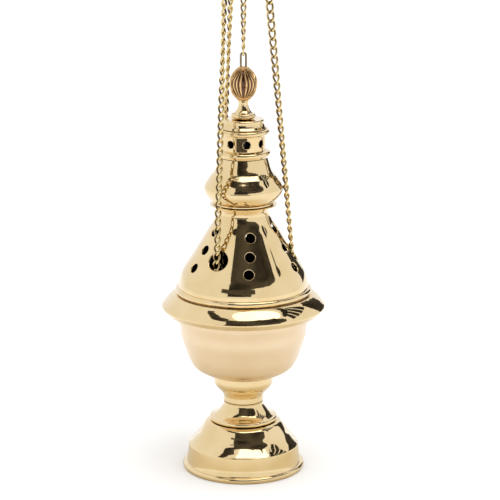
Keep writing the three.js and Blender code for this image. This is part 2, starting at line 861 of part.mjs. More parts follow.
function chainLine(i) {
  const lugPoint = pointAt(lugBearings[i], lugRadius, lugPivotHeight);
  const carryPoint = pointAt(plateEyeBearings[i], plateEyeRadius, carryHeight);
  carryPoint.x += plateShift;
  const share = (kneeHeight - lugPivotHeight) / (carryHeight - lugPivotHeight);
  const kneePoint = lugPoint.clone().lerp(carryPoint, share);
  const up = new THREE.Vector3().subVectors(carryPoint, lugPoint).normalize();
  const across = new THREE.Vector3().crossVectors(axisZ, bearingDirection(lugBearings[i]));
  return { lugPoint, kneePoint, carryPoint, up, across };
}

function lowerRun(i) {
  const { lugPoint, kneePoint, up, across } = chainLine(i);
  const start = lugPoint.clone().addScaledVector(up, -lugGap);
  const end = kneePoint.clone().addScaledVector(up, kneeGap);
  return chainRun(chain, start, end, across, 0, true, false);
}

function upperRun(i) {
  const { kneePoint, carryPoint, up, across } = chainLine(i);
  const start = kneePoint.clone().addScaledVector(up, -kneeGap);
  const end = carryPoint.clone().addScaledVector(up, carryGap);
  return chainRun(chain, start, end, across, Math.PI / 2, false, true);
}

function centreChain() {
  const start = new THREE.Vector3(0, 0, eyeLinkTop - eyeLinkWire - lidChain.wire - linkPlay);
  const end = new THREE.Vector3(0, 0, pullRingHeight + pullRingWire + lidChain.wire + linkPlay);
  return chainRun(lidChain, start, end, new THREE.Vector3(0, 1, 0), Math.PI / 2, true, true);
}

// Handle plate and its fittings
function handlePlate() {
  const inner = plateHoleRadius;
  const rim = plateRadius - plateRimRadius;
  const middle = (plateBase + plateTop) / 2;
  const disc = turnedRing([
    [inner, plateBase],
    [rim, plateBase],
    ...arc(rim, middle, plateRimRadius, -60, 60, 4),
    [rim, plateTop],
    [inner, plateTop],
  ]).translate(plateShift, 0, 0);
  const drills = plateEyeBearings.map((bearing) => {
    const place = pointAt(bearing, plateEyeRadius, 0);
    return upright(place.x + plateShift, place.y, plateBase - 2, plateTop + 2, eyeShankRadius + seam);
  });
  const bowDrills = [-1, 1].map((side) => (
    upright(0, side * bowHalfWidth, plateBase - 2, plateTop + 2, bowRod + seam, 16)
  ));
  return cut(disc, [...drills, ...bowDrills]);
}

function chainEye(i) {
  const ring = new THREE.TorusGeometry(eyeRingRadius, eyeWire, 4, 10);
  ring.rotateX(Math.PI / 2);
  ring.rotateZ(THREE.MathUtils.degToRad(lugBearings[i]));
  const centre = carryHeight + eyeRingRadius;
  ring.translate(0, 0, centre);
  const headLow = plateTop + seam;
  const stem = turned([
    [0, centre + eyeRingRadius - eyeWire / 2],
    [eyeShankRadius, centre + eyeRingRadius - eyeWire / 2],
    [eyeShankRadius, headLow],
    [eyeHeadRadius, headLow],
    [eyeHeadRadius - 0.4, headLow + eyeHeadHeight],
    [0, headLow + eyeHeadHeight],
  ], 6);
  const place = pointAt(plateEyeBearings[i], plateEyeRadius, 0);
  return joined([ring, stem]).translate(place.x + plateShift, place.y, 0);
}

class BowLine extends THREE.Curve {
  getPoint(share, target = new THREE.Vector3()) {
    const low = plateBase - bowNutHeight - 2 * seam - 1;
    const shoulder = plateTop + bowLegHeight;
    const leg = shoulder - low;
    const turn = Math.PI * bowHalfWidth;
    const walked = share * (2 * leg + turn);
    if (walked < leg) return target.set(0, -bowHalfWidth, low + walked);
    if (walked > leg + turn) return target.set(0, bowHalfWidth, shoulder - (walked - leg - turn));
    const angle = (walked - leg) / bowHalfWidth;
    return target.set(0, -bowHalfWidth * Math.cos(angle), shoulder + bowHalfWidth * Math.sin(angle));
  }
}

function bow() {
  const section = new THREE.Shape();
  section.absarc(0, 0, bowRod, 0, 2 * Math.PI, false);
  const settings = { steps: 24, bevelEnabled: false, curveSegments: 3, extrudePath: new BowLine() };
  return closed(new THREE.ExtrudeGeometry(section, settings));
}

// Assembly
addPiece('foot_shell', footShell(), brass);
addPiece('stem_flare', stemFlare(), brass);
addPiece('stem_knob', stemKnob(), brass);
addPiece('foot_washer', footWasher(), steel);
addPiece('foot_screw', footScrew(), steel);
addPiece('bowl', bowl(), paleBrass);
addPiece('bowl_nut', hexNut(nutFlats, nutHeight, screwRadius + seam), steel,
  new THREE.Vector3(0, 0, bowlNutBase + nutHeight / 2));
addPiece('bowl_collar', bowlCollar(), brass);
addPiece('coal_pan', coalPan(), steel);
lugBearings.forEach((bearing, i) => {
  addPiece(`lug_${i + 1}`, lug(bearing), brass);
  addPiece(`lug_rivet_${i + 1}a`, lugRivet(bearing, -1), brass);
  addPiece(`lug_rivet_${i + 1}b`, lugRivet(bearing, 1), brass);
});
addPiece('lid_bell', lidBell(), brass);
addPiece('lid_bulge', lidBulge(), brass);
addPiece('lid_lantern', lidLantern(), brass);
addPiece('lid_cap', lidCap(), brass);
addPiece('lid_bridge', lidBridge(), steel);
addPiece('lid_rod', lidRod(), steel);
addPiece('lid_rod_nut', hexNut(rodNutFlats, rodNutHeight, rodRadius + seam), steel,
  new THREE.Vector3(0, 0, rodNutTop - rodNutHeight / 2));
addPiece('finial_stem', finialStem(), brass);
addPiece('finial_bud', finialBud(), brass);
addPiece('lid_link', eyeLinkShape(eyeLinkWire), chainBrass, new THREE.Vector3(0, 0, eyeLinkHeight));
addPiece('lid_chain', centreChain(), chainBrass);
for (let i = 0; i < 3; i += 1) {
  addPiece(`chain_lower_${i + 1}`, lowerRun(i), chainBrass);
  addPiece(`chain_upper_${i + 1}`, upperRun(i), chainBrass);
  addPiece(`chain_eye_${i + 1}`, chainEye(i), brass);
}
addPiece('handle_plate', handlePlate(), brass);
addPiece('bow', bow(), brass);
[-1, 1].forEach((side) => {
  const end = side < 0 ? 'front' : 'back';
  const low = new THREE.Vector3(0, side * bowHalfWidth, plateBase - seam - bowNutHeight / 2);
  const high = new THREE.Vector3(0, side * bowHalfWidth, plateTop + seam + bowNutHeight / 2);
  addPiece(`bow_nut_${end}`, hexNut(bowNutFlats, bowNutHeight, bowRod + seam), brass, low);
  addPiece(`bow_locknut_${end}`, hexNut(bowNutFlats, bowNutHeight, bowRod + seam), brass, high);
});
addPiece('pull_ring', wireRing(pullRingRadius, pullRingWire, 16), brass,
  new THREE.Vector3(-pullRingRadius, 0, pullRingHeight));
addPiece('jump_ring', wireRing(jumpRingRadius, jumpRingWire, 18), brass,
  new THREE.Vector3(0, 0, jumpRingLow + jumpRingRadius), new THREE.Euler(Math.PI / 2, 0, 0));
addPiece('hanging_ring', wireRing(hangRingRadius, hangRingWire, 24), brass,
  new THREE.Vector3(0, 0, hangRingLow + hangRingRadius), new THREE.Euler(0, Math.PI / 2, 0));

const assembly = new THREE.Group();
assembly.add(model);

export default assembly;
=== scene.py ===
# %% [markdown]
# # A hanging incense burner of polished brass
# The photo shows a small church incense burner hanging in front of pure white paper: a foot, a stem with
# a knob, a satin bowl with a sloping collar, and a tall pierced lid that slides on three carrying chains.
# A fourth chain lifts the lid by its bud. The imported CAD frame already moves as the real one does, so this
# lesson only builds the looks: smooth turned walls, real interlinked chain links, and the polish.
#
# The frame is loaded first. No visible piece may grow past it.

import math

import bpy
import numpy as np
from mathutils import Matrix, Vector


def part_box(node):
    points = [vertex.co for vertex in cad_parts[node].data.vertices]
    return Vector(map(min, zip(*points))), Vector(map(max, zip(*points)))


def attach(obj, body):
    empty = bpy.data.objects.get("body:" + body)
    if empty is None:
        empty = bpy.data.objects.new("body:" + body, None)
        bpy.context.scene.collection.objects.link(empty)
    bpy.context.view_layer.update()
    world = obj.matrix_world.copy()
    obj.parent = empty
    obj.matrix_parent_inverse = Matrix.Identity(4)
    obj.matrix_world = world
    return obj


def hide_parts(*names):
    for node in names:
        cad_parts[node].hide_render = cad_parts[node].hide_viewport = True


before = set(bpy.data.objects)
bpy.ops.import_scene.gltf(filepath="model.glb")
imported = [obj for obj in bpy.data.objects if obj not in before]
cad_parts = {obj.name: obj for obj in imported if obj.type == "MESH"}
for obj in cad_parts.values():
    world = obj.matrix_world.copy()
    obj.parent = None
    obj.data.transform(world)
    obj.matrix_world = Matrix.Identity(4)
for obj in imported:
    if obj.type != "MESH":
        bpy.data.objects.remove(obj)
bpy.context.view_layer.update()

# %% [markdown]
# ## Two ways of measuring
# A brazier measures from the table up, and the frame hangs from the ring at the top. The shapes could be
# written in the frame's metres, but nobody measures a bowl from its ring. So every shape below is written in
# millimetres above the foot's base, and one function turns a point into the frame's metres. Bearings are
# degrees round the axis, 0 at the front and growing towards the right.

# %% Measures
MM = 0.001
HANG_HEIGHT = 407.6


def to_frame(points):
    """Millimetres above the foot's base into metres below the ring."""
    return (np.asarray(points, float) - [0, 0, HANG_HEIGHT]) * MM


def direction(bearing):
    angle = math.radians(bearing)
    return np.array([math.sin(angle), -math.cos(angle), 0.0])


def at(bearing, radius, height):
    return direction(bearing) * radius + [0, 0, height]


print("the foot stands at", round(float(to_frame([0, 0, 0])[2]), 4), "m")

# %% [markdown]
# ## Outlines
# Brass like this is spun or cast and then turned on a lathe, so nearly every part is one outline swept
# round an axis. Small helpers make an outline: a smooth line through a few measured points, an arc for a
# rolled bead, and a rounding of the corners, since a buffing wheel never leaves a corner sharp. A Bevel
# modifier could round the finished mesh, but a corner is simpler to ease while it is still a point on a line.

# %% Outline helpers
SHARP_TURN = 24
EDGE_SHARE = 0.42
FLAT_SHARE = 0.15


def smooth(pairs, steps):
    """A smooth line through [radius, height] pairs, in equal steps."""
    ends = np.array([pairs[0], *pairs, pairs[-1]], float)
    line = []
    for share in np.linspace(0, len(pairs) - 1, steps + 1):
        i = min(int(share), len(pairs) - 2)
        t = share - i
        a, b, c, d = ends[i:i + 4]
        v0, v1 = (c - a) / 2, (d - b) / 2
        line.append((2 * b - 2 * c + v0 + v1) * t**3 + (3 * c - 3 * b - 2 * v0 - v1) * t**2 + v0 * t + b)
    return [tuple(p) for p in line]


def arc(radius, height, size, first, last, steps=14):
    turns = np.radians(np.linspace(first, last, steps + 1))
    return [(radius + size * math.cos(a), height + size * math.sin(a)) for a in turns]


def eased(outline, size=0.3, closed=True):
    """Rounds each corner of more than SHARP_TURN degrees, and keeps the flats beside it flat."""
    points = [np.array(p, float) for p in outline]
    line = []
    for i, here in enumerate(points):
        before, after = points[i - 1], points[(i + 1) % len(points)]
        if not closed and i in (0, len(points) - 1):
            line.append(tuple(here))
            continue
        into, away = here - before, after - here
        turn = abs(math.degrees(math.atan2(into[0] * away[1] - into[1] * away[0], into @ away)))
        if turn < SHARP_TURN:
            line.append(tuple(here))
            continue
        reach = min(size, EDGE_SHARE * np.linalg.norm(into), EDGE_SHARE * np.linalg.norm(away))
        start = here - into / np.linalg.norm(into) * reach
        end = here + away / np.linalg.norm(away) * reach
        line.append(tuple(start + (start - here) * FLAT_SHARE))
        for t in np.linspace(0, 1, 6):
            line.append(tuple((1 - t) ** 2 * start + 2 * t * (1 - t) * here + t * t * end))
        line.append(tuple(end + (end - here) * FLAT_SHARE))
    return line


def beside(outline, thickness):
    """The line beside an outline, a sheet's thickness nearer the axis when it climbs."""
    line = []
    for i, (radius, height) in enumerate(outline):
        before, after = outline[max(i - 1, 0)], outline[min(i + 1, len(outline) - 1)]
        along = np.array([after[0] - before[0], after[1] - before[1]])
        along = along / np.linalg.norm(along)
        line.append((radius - along[1] * thickness, height + along[0] * thickness))
    return line


def radius_at(outline, height):
    for (r0, z0), (r1, z1) in zip(outline, outline[1:]):
        if (height - z0) * (height - z1) <= 0 and z0 != z1:
            return r0 + (r1 - r0) * (height - z0) / (z1 - z0)
    return outline[-1][0]


print("a square corner becomes", len(eased([(0, 0), (9, 0), (9, 9)], closed=False)) - 2, "points")

# %% [markdown]
# ## From outline to mesh
# `turned` sweeps an outline round the axis. A point on the axis becomes one shared corner. The walls of the
# lid are brass outside and blackened inside, by smoke and by painted shade, so the sweep can give a stretch
# of the outline to a second material. Blender's Screw modifier sweeps an outline too, but it has no such
# stretch.

# %% Turned pieces
TURNS = 192
ON_AXIS = 1e-6
SHARP_ANGLE = math.radians(38)


def add_mesh(name, points, faces, looks, second=None):
    mesh = bpy.data.meshes.new(name)
    mesh.from_pydata(to_frame(points).tolist(), [], faces)
    for look in looks:
        mesh.materials.append(look)
    if second is not None:
        mesh.polygons.foreach_set("material_index", np.asarray(second, np.int32))
    mesh.shade_smooth()
    mesh.set_sharp_from_angle(angle=SHARP_ANGLE)
    obj = bpy.data.objects.new(name, mesh)
    bpy.context.collection.objects.link(obj)
    return obj


def turned(name, outline, looks, inner=(), turns=TURNS, ring=True):
    """A turned piece. inner is the outline's stretch (first, last) that takes the second material."""
    count = len(outline)
    angles = np.arange(turns) * 2 * math.pi / turns
    points, rows = [], []
    for radius, height in outline:
        start = len(points)
        if radius < ON_AXIS:
            points.append((0, 0, height))
            rows.append([start] * turns)
            continue
        points.extend((radius * math.sin(a), -radius * math.cos(a), height) for a in angles)
        rows.append(list(range(start, start + turns)))
    faces, second = [], []
    for i in range(count if ring else count - 1):
        low, high = rows[i], rows[(i + 1) % count]
        inside = bool(inner) and inner[0] <= i < inner[1]
        for k in range(turns):
            n = (k + 1) % turns
            corners = [low[k], low[n], high[n], high[k]]
            face = [c for j, c in enumerate(corners) if c != corners[j - 1]]
            if len(face) > 2:
                faces.append(face)
                second.append(int(inside))
    return add_mesh(name, points, faces, looks, second)


print("a turned piece has", TURNS, "corners round its axis")

# %% [markdown]
# Every ring, link and bow is round wire bent to a line. A curve with a bevel makes such a wire as well, but
# a mesh made corner by corner can carry a number at each corner, which the tarnish and painted shade of the
# chains need.

# %% Pieces of wire


def tube(line, wire, sides, closed, side_hint):
    """Corners and faces of a round wire along a line. wire is its radius."""
    line = np.asarray(line, float)
    count = len(line)
    if closed:
        along = np.roll(line, -1, 0) - np.roll(line, 1, 0)
    else:
        along = np.gradient(line, axis=0)
    along /= np.linalg.norm(along, axis=1)[:, None]
    across = np.empty_like(along)
    carried = np.asarray(side_hint, float)
    for i, way in enumerate(along):
        carried = carried - way * (carried @ way)
        carried /= np.linalg.norm(carried)
        across[i] = carried
    third = np.cross(along, across)
    turns = np.arange(sides) * 2 * math.pi / sides
    rings = np.cos(turns)[None, :, None] * across[:, None, :]
    rings = rings + np.sin(turns)[None, :, None] * third[:, None, :]
    points = (line[:, None, :] + rings * wire).reshape(-1, 3)
    faces = []
    for i in range(count if closed else count - 1):
        n = (i + 1) % count
        for k in range(sides):
            m = (k + 1) % sides
            faces.append([i * sides + k, i * sides + m, n * sides + m, n * sides + k])
    if not closed:
        faces.append(list(range(sides))[::-1])
        faces.append([(count - 1) * sides + k for k in range(sides)])
    return points, faces


def swept(name, lines, wire, looks, sides=12, closed=True, side_hint=(0.01, 0.02, 1)):
    """One object of round wires along one or several lines."""
    points, faces = [], []
    for line in lines:
        some, theirs = tube(line, wire, sides, closed, side_hint)
        faces += [[c + len(points) for c in face] for face in theirs]
        points += some.tolist()
    return add_mesh(name, points, faces, looks)


def outer_side(lines, points, sides):
    """For each corner of closed wires, 0 on the side that faces the loop's middle and 1 on the outside."""
    values = []
    for i, line in enumerate(np.asarray(lines, float)):
        rings = np.asarray(points[i * len(line) * sides:(i + 1) * len(line) * sides]).reshape(-1, sides, 3)
        away = line - line.mean(0)
        away /= np.linalg.norm(away, axis=1)[:, None]
        offset = rings - line[:, None, :]
        offset /= np.linalg.norm(offset, axis=2)[:, :, None]
        values.append(((offset * away[:, None, :]).sum(2) / 2 + 0.5).ravel())
    return np.concatenate(values)


wire_faces = tube([(0, 0, 0), (0, 0, 1)], 1, 6, False, (1, 0, 0))[1]
print("a straight wire of six sides has", len(wire_faces), "faces")

# %% [markdown]
# ## A piece's place in the frame
# Each finished piece is told which body of the frame it moves with and which solids it stands for, and
# those solids are hidden. Each place is read back from the mesh and printed.

# %% Placing helpers


def read(items, field, width=1, kind=float):
    """One field of all of a mesh's corners or faces, as an array."""
    values = np.empty(len(items) * width, kind)
    items.foreach_get(field, values)
    return values.reshape(-1, width) if width > 1 else values


def corners_of(mesh):
    """The corners of a mesh in millimetres above the foot's base."""
    return read(mesh.vertices, "co", 3) / MM + [0, 0, HANG_HEIGHT]


def belongs(obj, body, finish, *nodes):
    """The piece rides on its body and stands for its CAD nodes, which it hides. Its finish is not used."""
    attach(obj, body)
    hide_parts(*nodes)
    heights = corners_of(obj.data)[:, 2]
    print(f"{obj.name} on {body}: {heights.min():.1f} to {heights.max():.1f} mm up")


# %% [markdown]
# ## Materials
# Four things are seen: mirror-polished brass, the satin bowl, chain wire that handling keeps half bright,
# and the soot that smoke leaves inside. A colour is written as sRGB hex and turned linear by one function.
# Brass in front of white paper looks cream, because the paper is what it mirrors. Where it mirrors itself,
# the colour is taken twice, and turns gold. So one pale base colour gives both. Gold could be painted where
# the photo shows it, but it would stay there when the burner turns.

# %% Material helpers


def linear(hex_colour):
    values = [int(hex_colour[i:i + 2], 16) / 255 for i in (1, 3, 5)]
    return tuple(v / 12.92 if v <= 0.04045 else ((v + 0.055) / 1.055) ** 2.4 for v in values) + (1.0,)


def node(tree, kind, settings=(), links=()):
    """One shader node with its settings and its incoming links. A colour ramp's stops are settings too."""
    made = tree.nodes.new(kind)
    for key, value in dict(settings).items():
        if key == "stops":
            for stop, (place, hex_colour) in zip(made.color_ramp.elements, value):
                stop.position, stop.color = place, linear(hex_colour)
        elif isinstance(key, str) and hasattr(made, key) and key not in made.inputs:
            setattr(made, key, value)
        else:
            made.inputs[key].default_value = value
    for socket, source in dict(links).items():
        tree.links.new(source, made.inputs[socket])
    return made


def new_material(name, settings):
    """A material with one shader. Its settings are what is the same all over the surface."""
    material = bpy.data.materials.new(name)
    material.use_nodes = True
    tree = material.node_tree
    tree.nodes.clear()
    shader = node(tree, "ShaderNodeBsdfPrincipled", settings)
    node(tree, "ShaderNodeOutputMaterial", {}, {"Surface": shader.outputs["BSDF"]})
    return material, tree, shader


def pattern(tree, size_mm, detail=2.0, squash=(1, 1, 1)):
    """Soft noise whose patches are size_mm across, drawn out along an axis where squash is small."""
    place = node(tree, "ShaderNodeTexCoord")
    scaled = node(tree, "ShaderNodeMapping", {"Scale": squash}, {"Vector": place.outputs["Object"]})
    noise = node(tree, "ShaderNodeTexNoise", {"Scale": 1 / (size_mm * MM), "Detail": detail},
                 {"Vector": scaled.outputs["Vector"]})
    return noise.outputs["Fac"]


print("brass in sRGB #E3C892 is", [round(v, 3) for v in linear("#E3C892")], "in linear light")

# %% [markdown]
# Polished brass has fine turning lines that run round the piece. The real ones are a few micrometres wide,
# too fine to show, so they are drawn a fifth to a third of a millimetre wide, and a micrometre or two deep at
# most. They are noise pressed flat along the height. A coat of clear lacquer lies over the metal: it lends
# the mirror a second, whiter shine, and where it is old the colour turns faintly cloudy. The satin bowl was
# rubbed with grit, so it scatters what it mirrors, and the zinc plated steel of the fittings has no lacquer.

# %% Metal materials
LINE_WIDTH = 0.35
LINE_SQUASH = (0.02, 0.02, 1)
LACQUER_GLOSS = 0.8
CLOUD_SIZE = 14


def lined_metal(name, rough, line_depth, line_width=LINE_WIDTH, lacquer=1.0, lacquer_ior=1.5):
    """Metal with turning lines under a clear coat. Its colour and its gloss are still to be linked."""
    material, tree, shader = new_material(name, {
        "Metallic": 1, "Coat Weight": lacquer,
        "Coat Roughness": rough * LACQUER_GLOSS, "Coat IOR": lacquer_ior,
    })
    lines = pattern(tree, line_width, 2, LINE_SQUASH)
    relief = node(tree, "ShaderNodeBump", {"Strength": 1, "Distance": line_depth * MM}, {"Height": lines})
    tree.links.new(relief.outputs["Normal"], shader.inputs["Normal"])
    return material, tree, shader


def brass(name, dark, light, rough, line_depth, wear=0.03, **others):
    """Metal between two near tones, whose gloss varies by wear."""
    material, tree, shader = lined_metal(name, rough, line_depth, **others)
    cloud = pattern(tree, CLOUD_SIZE, 3)
    colour = node(tree, "ShaderNodeValToRGB", {"stops": [(0.35, dark), (0.65, light)]}, {"Fac": cloud})
    gloss = node(tree, "ShaderNodeMapRange", {"To Min": rough, "To Max": rough + wear}, {"Value": cloud})
    tree.links.new(colour.outputs["Color"], shader.inputs["Base Color"])
    tree.links.new(gloss.outputs["Result"], shader.inputs["Roughness"])
    return material


mirror_brass = brass("mirror_polished_brass", "#E3C892", "#E9D09F", 0.04, 0.0006)
satin_brass = brass("satin_brass_of_the_bowl", "#E9CEA5", "#ECD3AD", 0.4, 0.002, 0.05, line_width=0.2,
                    lacquer_ior=1.8)
zinc_steel = brass("zinc_plated_steel", "#A9ABA9", "#C2C4C1", 0.28, 0.002, 0.1, lacquer=0.0)
print("metals:", mirror_brass.name, satin_brass.name, zinc_steel.name)

# %% [markdown]
# Chain wire and the cast bud are never buffed all round. Hands and the wheel reach only what stands out,
# and a brown tarnish stays in the hollows and on the inner side of each link. On the chains that brown is
# painted shade as well, where the links shade each other. The Geometry node's Pointiness could find the
# hollows, but it depends on how finely a mesh is divided. So both meshes carry a number called
# `bright_share`, from 0 in a hollow to 1 where it stands out, and the colour and the gloss follow it.

# %% Materials with tarnish and painted shade
SPOT_SIZE = 1.6
SPOT_DEPTH = 0.3
DULLER = 0.25


def tarnished_and_shaded(name, tarnish_and_shade, bright, rough, start, end):
    """Brass that is bright where the mesh's number called bright_share is high, and brown where it is low:
    tarnish, and on the chains painted shade too.
    """
    material, tree, shader = lined_metal(name, rough, 0.001)
    bright_share = node(tree, "ShaderNodeAttribute", {"attribute_name": "bright_share"})
    spots = node(tree, "ShaderNodeMath", {"operation": "MULTIPLY_ADD", 1: SPOT_DEPTH, 2: -SPOT_DEPTH / 2},
                 {0: pattern(tree, SPOT_SIZE, 3)})
    shown = node(tree, "ShaderNodeMath", {"operation": "ADD"},
                 {0: bright_share.outputs["Fac"], 1: spots.outputs["Value"]}).outputs["Value"]
    colour = node(tree, "ShaderNodeValToRGB", {"stops": [(start, tarnish_and_shade), (end, bright)]}, {"Fac": shown})
    gloss = node(tree, "ShaderNodeMapRange",
                 {"From Min": start, "From Max": end, "To Min": rough + DULLER, "To Max": rough},
                 {"Value": shown})
    tree.links.new(colour.outputs["Color"], shader.inputs["Base Color"])
    tree.links.new(gloss.outputs["Result"], shader.inputs["Roughness"])
    return material


def mark_bright_share(obj, values):
    bright_share = obj.data.attributes.new("bright_share", "FLOAT", "POINT")
    bright_share.data.foreach_set("value", np.asarray(values, np.float32))


chain_wire = tarnished_and_shaded("handled_brass_chain_wire_with_painted_shade", "#5E4516", "#EACF8C", 0.13, 0.25, 0.7)
cast_brass = tarnished_and_shaded("cast_brass_of_the_bud", "#5B3210", "#EBC282", 0.1, 0.25, 0.8)
print("tarnished:", chain_wire.name, cast_brass.name)

# %% [markdown]
# Smoke coats the inside of the lid with a dry brown black film of soot, and charcoal burns the steel pan to
# a blue grey scale. Inside the lid that near black is painted shade as well, the shade of the closed lid.
# Both scatter light instead of mirroring it, so the holes look black. One noise with flakes of a few
# millimetres drives their colour, gloss and relief together, as in the real crust.

# %% Burnt materials
FLAKE_SIZE = 3.5
FLAKE_DEPTH = 0.03


def burnt(name, dark, light, rough, metal):
    material, tree, shader = new_material(name, {"Metallic": metal})
    flakes = pattern(tree, FLAKE_SIZE, 6)
    colour = node(tree, "ShaderNodeValToRGB", {"stops": [(0.3, dark), (0.75, light)]}, {"Fac": flakes})
    gloss = node(tree, "ShaderNodeMapRange", {"To Min": rough, "To Max": rough + DULLER}, {"Value": flakes})
    relief = node(tree, "ShaderNodeBump", {"Strength": 0.6, "Distance": FLAKE_DEPTH * MM}, {"Height": flakes})
    tree.links.new(colour.outputs["Color"], shader.inputs["Base Color"])
    tree.links.new(gloss.outputs["Result"], shader.inputs["Roughness"])
    tree.links.new(relief.outputs["Normal"], shader.inputs["Normal"])
    return material


# soot, and painted shade inside the closed lid: a near black brown
soot_and_shade = burnt("soot_and_painted_shade_on_brass", "#0B0704", "#2A1A0C", 0.6, 0.2)
pan_scale = burnt("fire_scaled_steel", "#2B2A2C", "#5A5458", 0.45, 0.8)
print("burnt:", soot_and_shade.name, pan_scale.name)

# %% [markdown]
# ## Foot
# A spun brass shell, open below, with a rolled bead to stand on. Above the bead the wall leans in, then a
# fine step marks the shoulder, and a hollow curve climbs to a flat top that carries the stem. The inner side
# is the same line moved in by the sheet's thickness, so the wall is as even as spun sheet is.

# %% Foot
SHEET = 1.2
SCREW_BORE = 2.6
foot_top = 30.5
foot_wall = [
    (35.6, 3.7), (35.1, 8.0), (34.3, 15.2), (33.4, 15.9),
    *smooth([(31.8, 17.6), (28.5, 21.5), (26.3, 25.5), (23.7, 29.3), (21.6, foot_top)], 24),
]
foot_inside = beside(foot_wall, SHEET)[:-3]
foot_outline = eased([
    (35.45, 0.0), (37.25, 0.0), *arc(36.35, 1.75, 1.75, -58, 110),
    *foot_wall, (SCREW_BORE, foot_top), (SCREW_BORE, foot_top - SHEET), (20.4, foot_top - SHEET),
    *foot_inside[::-1], (34.6, 1.75),
], 0.35)
belongs(turned("foot", foot_outline, [mirror_brass]), "burner", "polished_brass", "foot_shell")

# %% [markdown]
# ## Stem
# Two turned castings: a flare that spreads from the stem onto a thin ledge, and a knob that swells under
# the bowl. One casting would look much the same, but the thin shadow line where the two meet would be lost.
# In the photo both mirror each other and the foot, and this is where the brass looks most gold.

# %% Stem
flare_base, flare_top = 30.8, 43.0
flare = [
    (SCREW_BORE, flare_base), *arc(19.8, flare_base + 1.4, 1.4, -90, 60, 18),
    *smooth([(19.3, 33.6), (16.5, 35.6), (13.9, 38.8), (12.4, 41.2), (12.4, flare_top)], 24),
    (SCREW_BORE, flare_top),
]
knob_base, knob_top = 43.3, 60.3
knob = [
    (SCREW_BORE, knob_base), (12.4, knob_base),
    *smooth([(12.4, 46.7), (13.7, 49.1), (17.3, 53.1), (18.5, 55.9), (18.5, knob_top)], 28),
    (SCREW_BORE, knob_top),
]
belongs(turned("flare", eased(flare), [mirror_brass]), "burner", "polished_brass", "stem_flare")
belongs(turned("knob", eased(knob), [mirror_brass]), "burner", "polished_brass", "stem_knob")

# %% [markdown]
# A steel screw with a washer pulls foot, flare, knob and bowl together, with its nut inside the bowl. Its
# head shows only from below. The screw is solid, so its outline starts and ends on the axis.

# %% Clamping screw
washer = [(SCREW_BORE, 27.8), (8.0, 27.8), (8.0, 29.0), (SCREW_BORE, 29.0)]
screw = [(0, 24.5), (4.0, 24.5), (5.0, 25.5), (5.0, 27.5), (2.3, 27.5), (2.3, 66.8), (0, 66.8)]
washer_piece = turned("washer", eased(washer, 0.15), [zinc_steel], turns=64)
belongs(washer_piece, "burner", "fixing_steel", "foot_washer")
screw_piece = turned("screw", eased(screw, 0.3, False), [zinc_steel], turns=48, ring=False)
belongs(screw_piece, "burner", "fixing_steel", "foot_screw")

# %% [markdown]
# ## Bowl
# The bowl is spun from sheet and left satin: it shows no sharp reflection in the photo, only a soft cream.
# It curves up from the knob, turns almost upright, and ends in a straight wall under the collar. Eight
# measured points under a smooth line give that curve. More points would only copy the photo's noise.

# %% Bowl
bowl_base, rim = 60.6, 113.4
BOWL_WALL = 40.8
bowl_outside = [
    *smooth([(18.5, bowl_base), (21.5, 61.1), (29.8, 65.5), (33.8, 71.4), (36.9, 80.2),
             (38.8, 86.4), (39.4, 91.8), (BOWL_WALL, 97.3)], 44),
    (BOWL_WALL, rim),
]
bowl_inside = beside(bowl_outside, SHEET)
bowl_loop = eased([
    (SCREW_BORE, bowl_base), *bowl_outside, (BOWL_WALL - SHEET, rim), *bowl_inside[1:-1][::-1],
    (SCREW_BORE, bowl_base + SHEET),
], 0.25)
belongs(turned("bowl_shell", bowl_loop, [satin_brass]), "burner", "bowl_brass", "bowl")

# %% [markdown]
# The collar is a second spun ring that grips the bowl's straight wall. Its skirt slopes out like a little
# roof and ends in a soft round lip, and it mirrors the lamp overhead as one broad white patch. The underside
# follows the skirt at a sheet's thickness, for a view from below.

# %% Collar
skirt = [
    (43.1, rim), (45.3, rim - 1.3), (50.4, rim - 6.5),
    *arc(49.68, rim - 8.2, 1.3, 30, -45), (48.7, rim - 11.7),
]
under = beside(skirt, -SHEET)[::-1]
collar_loop = eased([
    (41.1, rim - 6), (41.1, rim), *skirt, *under[:-1], (42.3, rim - SHEET), (42.3, rim - 6),
], 0.35)
belongs(turned("collar", collar_loop, [mirror_brass]), "burner", "polished_brass", "bowl_collar")

# %% [markdown]
# The coal pan is a pressed steel cup that stands on the bowl's curved floor and lifts out for cleaning. Only
# a raised lid shows it. The frame knows how deep it sits, so its foot takes that height from the frame.

# %% Coal pan
pan_floor, pan_top = 67.8, 80.0
pan_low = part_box("coal_pan")[0].z / MM + HANG_HEIGHT
pan_loop = eased([
    (0, pan_floor), (24.8, pan_floor), (24.8, pan_low), (26.0, pan_low), (26.0, pan_floor + SHEET),
    (28.0, pan_top), (26.8, pan_top), (24.8, pan_floor + SHEET), (0, pan_floor + SHEET),
], 0.3, False)
belongs(turned("pan", pan_loop, [pan_scale], ring=False, turns=128), "coal_pan", "pan_steel", "coal_pan")

# %% [markdown]
# ## Holes with eased rims
# The lid's holes are drilled and then rubbed with the polishing wheel, so each has a narrow bright rim.
# A plain cylinder would leave knife edges. So a drill is built for each hole that widens just where it
# leaves the wall. For every angle round the hole the wall's surface is searched for, so the rim keeps the
# same width where the wall curves away.

# %% Drills
DRILL_STEPS = 72
RIM_EASE = 0.62
RIM_RINGS = 5
SEARCH_REACH = 7.0
HALVINGS = 40
PAST_WALL = 3


def leaves_wall(outline, start, way):
    """How far along a line from start its crossing with a turned wall lies, found by halving."""
    low, high = -SEARCH_REACH, SEARCH_REACH
    for _ in range(HALVINGS):
        middle = (low + high) / 2
        x, y, z = start + way * middle
        if math.hypot(x, y) > radius_at(outline, z):
            high = middle
        else:
            low = middle
    return (low + high) / 2


